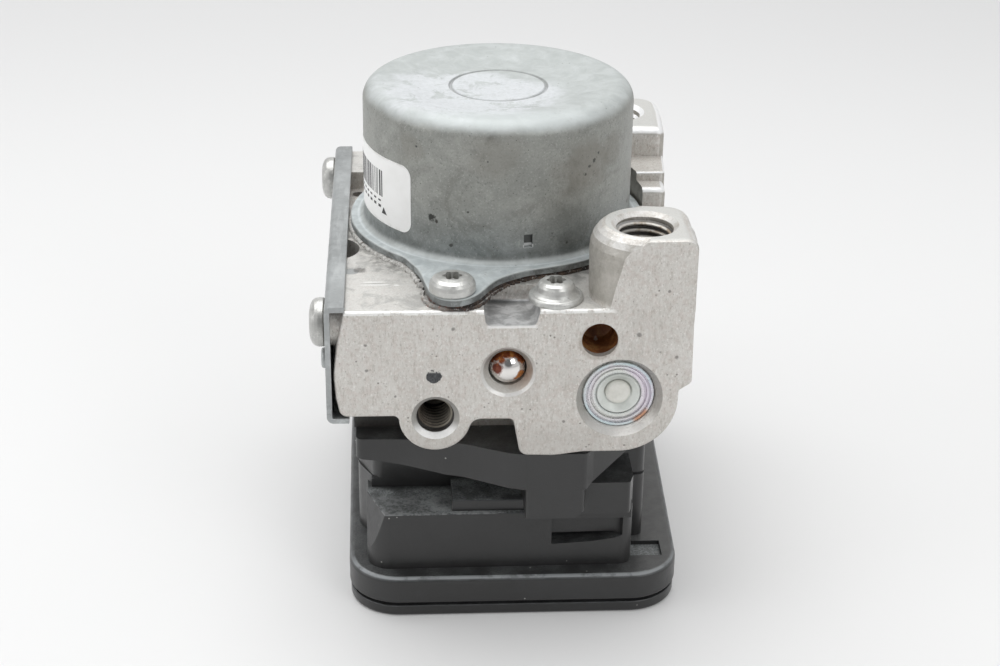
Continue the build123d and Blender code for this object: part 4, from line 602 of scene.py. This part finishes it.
def gasket_material():
    m = Mat("gasket", rough=0.7)
    f = m.noise(420, 5, 0.7, dist=0.6)
    g = m.noise(1300, 4, 0.75)
    c = m.ramp(f, [(0.3, (0.012, 0.010, 0.009)), (0.48, (0.040, 0.030, 0.026)), (0.60, (0.11, 0.075, 0.055)), (0.75, (0.22, 0.17, 0.13))])
    # pale crust to the left and in specks elsewhere
    left = m.rng(m.x, -10 * MM, -21 * MM)
    crust = m.most(m.times(left, m.rng(g, 0.30, 0.44), 0.95), m.times(m.rng(g, 0.56, 0.66), 0.75))
    c = m.mix(crust, c, m.mix(m.rng(m.noise(800, 4, 0.7), 0.38, 0.62), (0.40, 0.39, 0.365), (0.66, 0.655, 0.63)))
    red = m.times(m.spot((-14.0, -45.5, ZT), 3.0, 8.0, ragged=2.0, scale=300, axes=(1, 1, 0)), m.rng(m.noise(900, 3, 0.6), 0.50, 0.62), 0.6)
    c = m.mix(red, c, (0.24, 0.085, 0.06))
    n = m.bump(m.noise(900, 4, 0.7), 0.7, 0.0006)
    return m.done(c, m.mixf(f, 0.6, 0.85), n)


def plain(name, col, metallic=0.0, rough=0.5, vary=0.15, scale=300.0, fine=1500.0, bump=0.12):
    m = Mat(name, metallic=metallic, rough=rough)
    f = m.noise(scale, 4, 0.6)
    c = m.ramp(f, [(0.3, grey(1 - vary, col)), (0.5, col), (0.72, tuple(min(1.0, q * (1 + vary)) for q in col))])
    n = m.bump(m.noise(fine, 3, 0.6), bump, 0.0002)
    return m.done(c, m.mixf(f, max(rough - 0.07, 0.03), min(rough + 0.1, 1.0)), n)


def label_material():
    m = Mat("label_paper", rough=0.42)
    f = m.noise(200, 4, 0.6)
    c = m.ramp(f, [(0.3, (0.88, 0.88, 0.865)), (0.6, (0.93, 0.93, 0.92))])
    edge = m.most(m.rng(m.z, (ZT + 7.2) * MM, (ZT + 6.3) * MM), m.rng(m.z, (ZT + 20.9) * MM, (ZT + 21.7) * MM))
    c = m.mix(m.times(edge, m.rng(m.noise(500, 4, 0.6), 0.4, 0.7), 0.5), c, (0.50, 0.49, 0.46))
    n = m.bump(m.noise(1500, 3, 0.6), 0.05, 0.0001)
    return m.done(c, m.mixf(f, 0.36, 0.5), n)


mats = {
    "block": block_material(),
    "can": can_material(),
    "gasket": gasket_material(),
    "screw": screw_material(),
    "bracket": bracket_material(),
    "ball": ball_material(),
    "plug": plug_material(),
    "button": button_material(),
    "plastic": plastic_material("black_plastic", 0.0215),
    "cover": plastic_material("cover_plastic", 0.017, 0.6, 0.36),
    "rubber": plain("black_rubber", (0.010, 0.010, 0.011), 0, 0.6),
    "label": label_material(),
    "ink": plain("label_ink", (0.018, 0.018, 0.020), 0, 0.45, 0.2, 600),
    "steel": plain("bare_steel", (0.56, 0.56, 0.57), 1.0, 0.26, 0.10, 500),
    "spring": plain("spring_steel", (0.40, 0.40, 0.41), 1.0, 0.3, 0.15, 500),
    "copper": plain("copper_wire", (0.62, 0.24, 0.10), 0.85, 0.3, 0.2, 1200, 2500, 0.4),
    "magnet": plain("ferrite", (0.075, 0.075, 0.08), 0.0, 0.55, 0.2, 500),
    "carbon": plain("carbon", (0.035, 0.035, 0.038), 0.2, 0.5, 0.2, 700),
    "brushplate": plain("brush_plate_resin", (0.10, 0.075, 0.045), 0.0, 0.5, 0.15),
    "board": plain("solder_mask", (0.012, 0.11, 0.045), 0.0, 0.3, 0.15, 400),
    "chips": plain("epoxy_body", (0.025, 0.025, 0.027), 0.0, 0.45, 0.2, 500),
    "pins": plain("tinned_pins", (0.72, 0.66, 0.50), 1.0, 0.25, 0.1, 900),
}

use = {
    "block": ["valve_block"], "can": ["motor_can"], "gasket": ["motor_gasket"],
    "screw": ["motor_screws", "collar_screws", "bracket_screws"], "bracket": ["side_bracket"],
    "ball": ["front_ball_plug", "channel_ball_plugs"], "plug": ["accumulator_plugs", "pump_plugs"],
    "button": ["plug_buttons"], "plastic": ["control_housing"], "cover": ["control_cover"],
    "rubber": ["cover_seal", "housing_seal", "accumulator_ring_front", "accumulator_ring_rear"], "label": ["label"],
    "steel": ["rotor_shaft", "rotor_core", "drive_ring", "upper_bearing", "lower_bearing", "pump_piston_left", "pump_piston_right",
              "pump_sleeves", "inlet_valve_bodies", "outlet_valve_bodies", "coil_yokes", "accumulator_piston_front",
              "accumulator_piston_rear"] + ["%s_armature_%d" % (k, i) for k in ("inlet", "outlet") for i in range(1, 5)],
    "spring": ["accumulator_springs", "brush_springs", "pump_springs", "valve_springs"],
    "copper": ["rotor_winding", "commutator", "solenoid_coils"], "magnet": ["field_magnets"],
    "carbon": ["brush_front", "brush_rear"], "brushplate": ["brush_plate"], "board": ["circuit_board"], "chips": ["board_parts"],
    "pins": ["connector_pins"],
}
for key, names in use.items():
    for n in names:
        me = nodes[n].data
        me.materials.clear()
        me.materials.append(mats[key])


# ------------------------------------------------------------------ mesh helpers
def piece(name, verts, faces, mat, body="module", replaces=(), smooth=True, sharp=40.0):
    """A mesh piece from points in millimetres in the row frame, riding on a CAD body."""
    me = bpy.data.meshes.new(name)
    me.from_pydata([tuple(c * MM for c in v) for v in verts], [], faces)
    me.validate()
    me.update()
    if smooth:
        me.polygons.foreach_set("use_smooth", [True] * len(me.polygons))
        me.set_sharp_from_angle(angle=math.radians(sharp))
    ob = bpy.data.objects.new(name, me)
    bpy.context.scene.collection.objects.link(ob)
    me.materials.append(mats[mat])
    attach(ob, body)
    if replaces:
        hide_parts(*replaces)
    return ob


def frame_of(d):
    d = Vector(d).normalized()
    u = Vector((0, 0, 1)).cross(d)
    if u.length < 1e-6:
        u = Vector((1, 0, 0))
    u.normalize()
    return u, d.cross(u), d


def screw_thread(name, o, d, r_major, depth, pitch, length, mat, seg=56, body="module"):
    """A closed helical ridge inside a bore: o is its mouth, d points into the hole."""
    u, v, w = frame_of(d)
    if u.cross(v).dot(w) < 0:
        v = -v
    n = int(length / pitch * seg)
    verts, faces = [], []
    run = seg * 0.3
    for i in range(n + 1):
        a = 2 * math.pi * i / seg
        k = max(0.03, min(1.0, i / run, (n - i) / run))
        e = u * math.cos(a) + v * math.sin(a)
        z0 = pitch * i / seg
        rc = r_major - depth * k
        for r, dz in ((r_major + 0.03, -0.47 * pitch * k), (rc, -0.08 * pitch * k), (rc, 0.08 * pitch * k), (r_major + 0.03, 0.47 * pitch * k)):
            p = Vector(o) + e * r + w * (z0 + dz)
            verts.append(tuple(p))
    for i in range(n):
        a, b = 4 * i, 4 * (i + 1)
        for j in range(4):
            k = (j + 1) % 4
            faces.append((a + j, b + j, b + k, a + k))
    faces.append((0, 1, 2, 3))
    e = 4 * n
    faces.append((e + 3, e + 2, e + 1, e))
    return piece(name, verts, faces, mat, body, sharp=35)


screw_thread("port_thread_front", (28.6, -39.1, ZT + 14.1), (0, 0, -1), 6.0, 0.70, 1.5, 11.0, "block")
screw_thread("port_thread_rear", (29.9, 31.2, ZT + 14.1), (0, 0, -1), 6.0, 0.70, 1.5, 11.0, "block")
screw_thread("bolt_thread_front", (-15.1, YF + 1.9, ZT - 24.8), (0, 1, 0), 4.0, 0.66, 1.25, 10.0, "block")
for i, (x, v) in enumerate(((1.0, -14.0), (15.0, -14.0), (29.0, -13.5), (15.0, -27.8))):
    screw_thread("outlet_thread_%d" % (i + 1), (x, YR - 1.0, ZT + v), (0, -1, 0), 5.0, 0.52, 1.0, 9.5, "block", 40)


def curved_patch(verts, faces, a0, a1, z0, z1, r0, r1, step=1.2):
    """Adds a thin closed shell on a round wall, between two angles (degrees) and heights (mm)."""
    n = max(1, int(abs(a1 - a0) / step))
    base = len(verts)
    for i in range(n + 1):
        a = math.radians(a0 + (a1 - a0) * i / n)
        ca, sa = math.cos(a), math.sin(a)
        for r, z in ((r0, z0), (r1, z0), (r1, z1), (r0, z1)):
            verts.append((r * ca, r * sa, z))
    for i in range(n):
        a, b = base + 4 * i, base + 4 * (i + 1)
        for j in range(4):
            k = (j + 1) % 4
            faces.append((a + j, b + j, b + k, a + k))
    faces.append((base, base + 1, base + 2, base + 3))
    e = base + 4 * n
    faces.append((e + 3, e + 2, e + 1, e))


# printed bars, a row of plain dashes and a small arrow on the label
ink_v, ink_f = [], []
R0, R1 = 30.10, 30.135
a = 211.0
while a > 160.0:
    w = random.choice((0.40, 0.40, 0.75, 1.1))
    curved_patch(ink_v, ink_f, a - w, a, ZT + 12.3, ZT + 18.3, R0, R1, 0.4)
    a -= w + random.choice((0.7, 1.0, 1.3))
a = 209.6
while a > 170.0:
    curved_patch(ink_v, ink_f, a - 2.1, a, ZT + 9.6, ZT + 10.2, R0, R1, 0.4)
    curved_patch(ink_v, ink_f, a - 2.1, a, ZT + 11.0, ZT + 11.4, R0, R1, 0.4)
    a -= 4.2
piece("label_bars", ink_v, ink_f, "ink", sharp=30)
tri_v, tri_f = [], []
for r in (R0, R1):
    for ang, z in ((214.2, 8.5), (210.4, 8.5), (211.8, 10.0)):
        t = math.radians(ang)
        tri_v.append((r * math.cos(t), r * math.sin(t), ZT + z))
tri_f = [(0, 1, 2), (5, 4, 3), (0, 3, 4, 1), (1, 4, 5, 2), (2, 5, 3, 0)]
piece("label_arrow", tri_v, tri_f, "ink", smooth=False)


# ------------------------------------------------------------------ springs cut out of their CAD nodes as pieces of their own
def spring_pieces(node, parts):
    """Each coil of a CAD node as its own piece (mm)."""
    src = nodes[node].data
    co = np.empty(len(src.vertices) * 3)
    src.vertices.foreach_get("co", co)
    pts, back = np.unique(np.round(co.reshape(-1, 3) * 1000.0, 5), axis=0, return_inverse=True)
    back = np.asarray(back).reshape(-1)
    polys = [tuple(int(back[v]) for v in q.vertices) for q in src.polygons]
    for name, centre, half, body, start, end in parts:
        inside = np.all(np.abs(pts - np.array(centre)) <= np.array(half), axis=1)
        ids = {int(i): k for k, i in enumerate(np.nonzero(inside)[0])}
        faces = [tuple(ids[v] for v in q) for q in polys if len(set(q)) == len(q) and all(v in ids for v in q)]
        me = bpy.data.meshes.new(name)
        me.from_pydata([tuple(float(c) * MM for c in pts[i]) for i in ids], [], faces)
        me.validate()
        me.update()
        me.polygons.foreach_set("use_smooth", [True] * len(me.polygons))
        me.set_sharp_from_angle(angle=math.radians(50.0))
        me.materials.append(mats["spring"])
        ob = bpy.data.objects.new(name, me)
        bpy.context.scene.collection.objects.link(ob)
        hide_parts(node)
        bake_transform(ob)


spring_pieces("accumulator_springs", [
    ("accumulator_spring_front", (23.7, -35.86, 56.8), (6.4, 6.4, 6.4), "accumulator_front", (23.7, -29.9, 56.8), (23.7, -41.8, 56.8)),
    ("accumulator_spring_rear", (-23.7, 34.09, 56.8), (6.4, 6.4, 6.4), "accumulator_rear", (-23.7, 28.15, 56.8), (-23.7, 40.05, 56.8))])
spring_pieces("pump_springs", [
    ("pump_spring_right", (27.75, 0, 63.5), (4.6, 3.2, 3.2), "pump_piston_right", (23.6, 0, 63.5), (31.9, 0, 63.5)),
    ("pump_spring_left", (-27.75, 0, 63.5), (4.6, 3.2, 3.2), "pump_piston_left", (-23.6, 0, 63.5), (-31.9, 0, 63.5))])
spring_pieces("brush_springs", [
    ("brush_spring_rear", (0, 18.2, 78.5), (2.4, 2.4, 2.4), "brush_rear", (0, 16.1, 78.5), (0, 20.3, 78.5)),
    ("brush_spring_front", (0, -18.2, 78.5), (2.4, 2.4, 2.4), "brush_front", (0, -16.1, 78.5), (0, -20.3, 78.5))])
spring_pieces("valve_springs", [
    ("inlet_spring_%d" % (i + 1), (x, -17.0, 38.0), (2.4, 2.4, 2.4), "inlet_armature_%d" % (i + 1), (x, -17.0, 36.1), (x, -17.0, 39.9))
    for i, x in enumerate((-22.0, -7.5, 7.5, 22.0))] + [
    ("outlet_spring_%d" % (i + 1), (x, 17.0, 29.1), (2.4, 2.4, 2.4), "outlet_armature_%d" % (i + 1), (x, 17.0, 31.1), (x, 17.0, 27.1))
    for i, x in enumerate((-22.0, -7.5, 7.5, 22.0))])


# ------------------------------------------------------------------ squeezed-out seal round the can's flange
def wave(t, seed, parts=((3, 0.5), (7, 0.35), (17, 0.30), (41, 0.25), (97, 0.2), (190, 0.16))):
    rnd = random.Random(seed)
    return sum(a * math.sin(k * t + rnd.uniform(0, 6.3)) for k, a in parts)


co = np.empty(len(nodes["motor_can"].data.vertices) * 3)
nodes["motor_can"].data.vertices.foreach_get("co", co)
co = co.reshape(-1, 3) * 1000.0
low = co[co[:, 2] < ZT + 1.3]
rr, tt = np.hypot(low[:, 0], low[:, 1]), np.arctan2(low[:, 1], low[:, 0])
N = 1440
prof = np.zeros(N)
for k in range(N):
    t = -math.pi + 2 * math.pi * k / N
    dd = np.abs((tt - t + math.pi) % (2 * math.pi) - math.pi)
    near = dd < 0.030
    prof[k] = rr[near].max() if near.any() else 0.0
for k in range(N):
    if prof[k] < 33.0:
        prof[k] = max(prof[k], prof[k - 1], 33.2)
bead_v, bead_f = [], []
for k in range(N):
    t = -math.pi + 2 * math.pi * k / N
    deg = math.degrees(t)
    left = 1.0 if deg > 115 or deg < -105 else 0.0
    w = 0.16 + 0.10 * wave(t, 3) + (0.30 + 0.22 * wave(t, 5)) * left
    if -105 <= deg < -60:
        w = 0.10 + 0.07 * wave(t, 3)
    w = max(0.03, min(w, 1.05 if left else 0.30))
    h = 0.62 + 0.16 * wave(t, 11) + 0.12 * left
    h = max(0.30, min(h, 0.98))
    r = prof[k]
    for dr, z in ((-0.5, 0.02), (-0.5, h), (0.0, h), (w * 0.6, h * 0.8), (w, h * 0.35), (w * 1.02, 0.02)):
        bead_v.append(((r + dr) * math.cos(t), max((r + dr) * math.sin(t), YF + 0.06), ZT + z))
for k in range(N):
    a, b = 6 * k, 6 * ((k + 1) % N)
    for j in range(6):
        q = (j + 1) % 6
        bead_f.append((a + j, b + j, b + q, a + q))
piece("gasket_edge", bead_v, bead_f, "gasket", sharp=50)

# ------------------------------------------------------------------ floor, light and camera
def stage_material():
    m = Mat("pale_floor", rough=0.55, spec=0.3)
    c = m.ramp(m.noise(2.2, 3, 0.5), [(0.3, (0.650, 0.650, 0.648)), (0.7, (0.675, 0.675, 0.673))])
    # painted light falloff: the floor is darker towards the back
    far = m.rng(m.y, 0.03, 0.50, 0.0, 1.0)
    c = m.mix(far, c, (0.560, 0.560, 0.560))
    m.b.inputs["Emission Color"].default_value = (1.0, 1.0, 1.0, 1.0)
    m.b.inputs["Emission Strength"].default_value = 0.10
    return m.done(c, 0.55)


me = bpy.data.meshes.new("floor")
me.from_pydata([(-4, -4, 0), (4, -4, 0), (4, 4, 0), (-4, 4, 0)], [], [(0, 1, 2, 3)])
floor = bpy.data.objects.new("floor", me)
bpy.context.scene.collection.objects.link(floor)
me.materials.append(stage_material())

world = bpy.data.worlds.new("studio")
bpy.context.scene.world = world
world.use_nodes = True
wt = world.node_tree
wt.nodes.clear()
wo = wt.nodes.new("ShaderNodeOutputWorld")
wb = wt.nodes.new("ShaderNodeBackground")
wc = wt.nodes.new("ShaderNodeTexCoord")
ws = wt.nodes.new("ShaderNodeSeparateXYZ")
wr = wt.nodes.new("ShaderNodeValToRGB")
wt.links.new(wc.outputs["Generated"], ws.inputs[0])
wt.links.new(ws.outputs["Z"], wr.inputs[0])
el = wr.color_ramp.elements
el[0].position, el[0].color = 0.0, (0.86, 0.86, 0.865, 1)
el[1].position, el[1].color = 0.75, (0.99, 0.995, 1.0, 1)
wd = wt.nodes.new("ShaderNodeVectorMath")
wd.operation = "DOT_PRODUCT"
wt.links.new(wc.outputs["Generated"], wd.inputs[0])
wd.inputs[1].default_value = Vector((0.10, -0.86, 0.50)).normalized()
wm = wt.nodes.new("ShaderNodeMapRange")
wm.interpolation_type = "SMOOTHSTEP"
wt.links.new(wd.outputs["Value"], wm.inputs[0])
for i, q in enumerate((0.84, 0.95, 0.0, 0.85)):
    wm.inputs[i + 1].default_value = q
wx = wt.nodes.new("ShaderNodeMix")
wx.data_type = "RGBA"
wt.links.new(wm.outputs[0], wx.inputs[0])
wt.links.new(wr.outputs[0], wx.inputs[6])
wx.inputs[7].default_value = (0.10, 0.105, 0.11, 1)
wt.links.new(wx.outputs[2], wb.inputs["Color"])
wb.inputs["Strength"].default_value = 0.70
wt.links.new(wb.outputs[0], wo.inputs["Surface"])


def softbox(name, loc, target, size, power, color=(1, 1, 1)):
    li = bpy.data.lights.new(name, "AREA")
    li.shape = "RECTANGLE"
    li.size, li.size_y = size
    li.energy = power
    li.color = color
    ob = bpy.data.objects.new(name, li)
    ob.location = loc
    ob.rotation_euler = (Vector(target) - Vector(loc)).to_track_quat("-Z", "Y").to_euler()
    bpy.context.scene.collection.objects.link(ob)
    return ob


softbox("overhead", (-0.15, 0.20, 1.00), (0, 0, 0.05), (0.9, 0.9), 7.5)
softbox("front_right", (0.60, -0.80, 0.70), (0, 0, 0.06), (0.5, 0.5), 2.2)
softbox("left", (-1.00, -0.25, 0.55), (0, 0, 0.07), (0.5, 0.5), 1.6)

cam_data = bpy.data.cameras.new("photo_camera")
cam_data.lens = 67.46
cam_data.sensor_width = 36.0
cam_data.clip_start = 0.01
cam = bpy.data.objects.new("photo_camera", cam_data)
right = Vector((0.998557, -0.052353, 0.011945))
up = Vector((0.012168, 0.437274, 0.899246))
back = right.cross(up)
cam.matrix_world = Matrix(((right.x, up.x, back.x, -0.021954), (right.y, up.y, back.y, -0.395482),
                           (right.z, up.z, back.z, 0.24161), (0, 0, 0, 1)))
bpy.context.scene.collection.objects.link(cam)
bpy.context.scene.camera = cam
bpy.context.scene.view_settings.view_transform = "Standard"
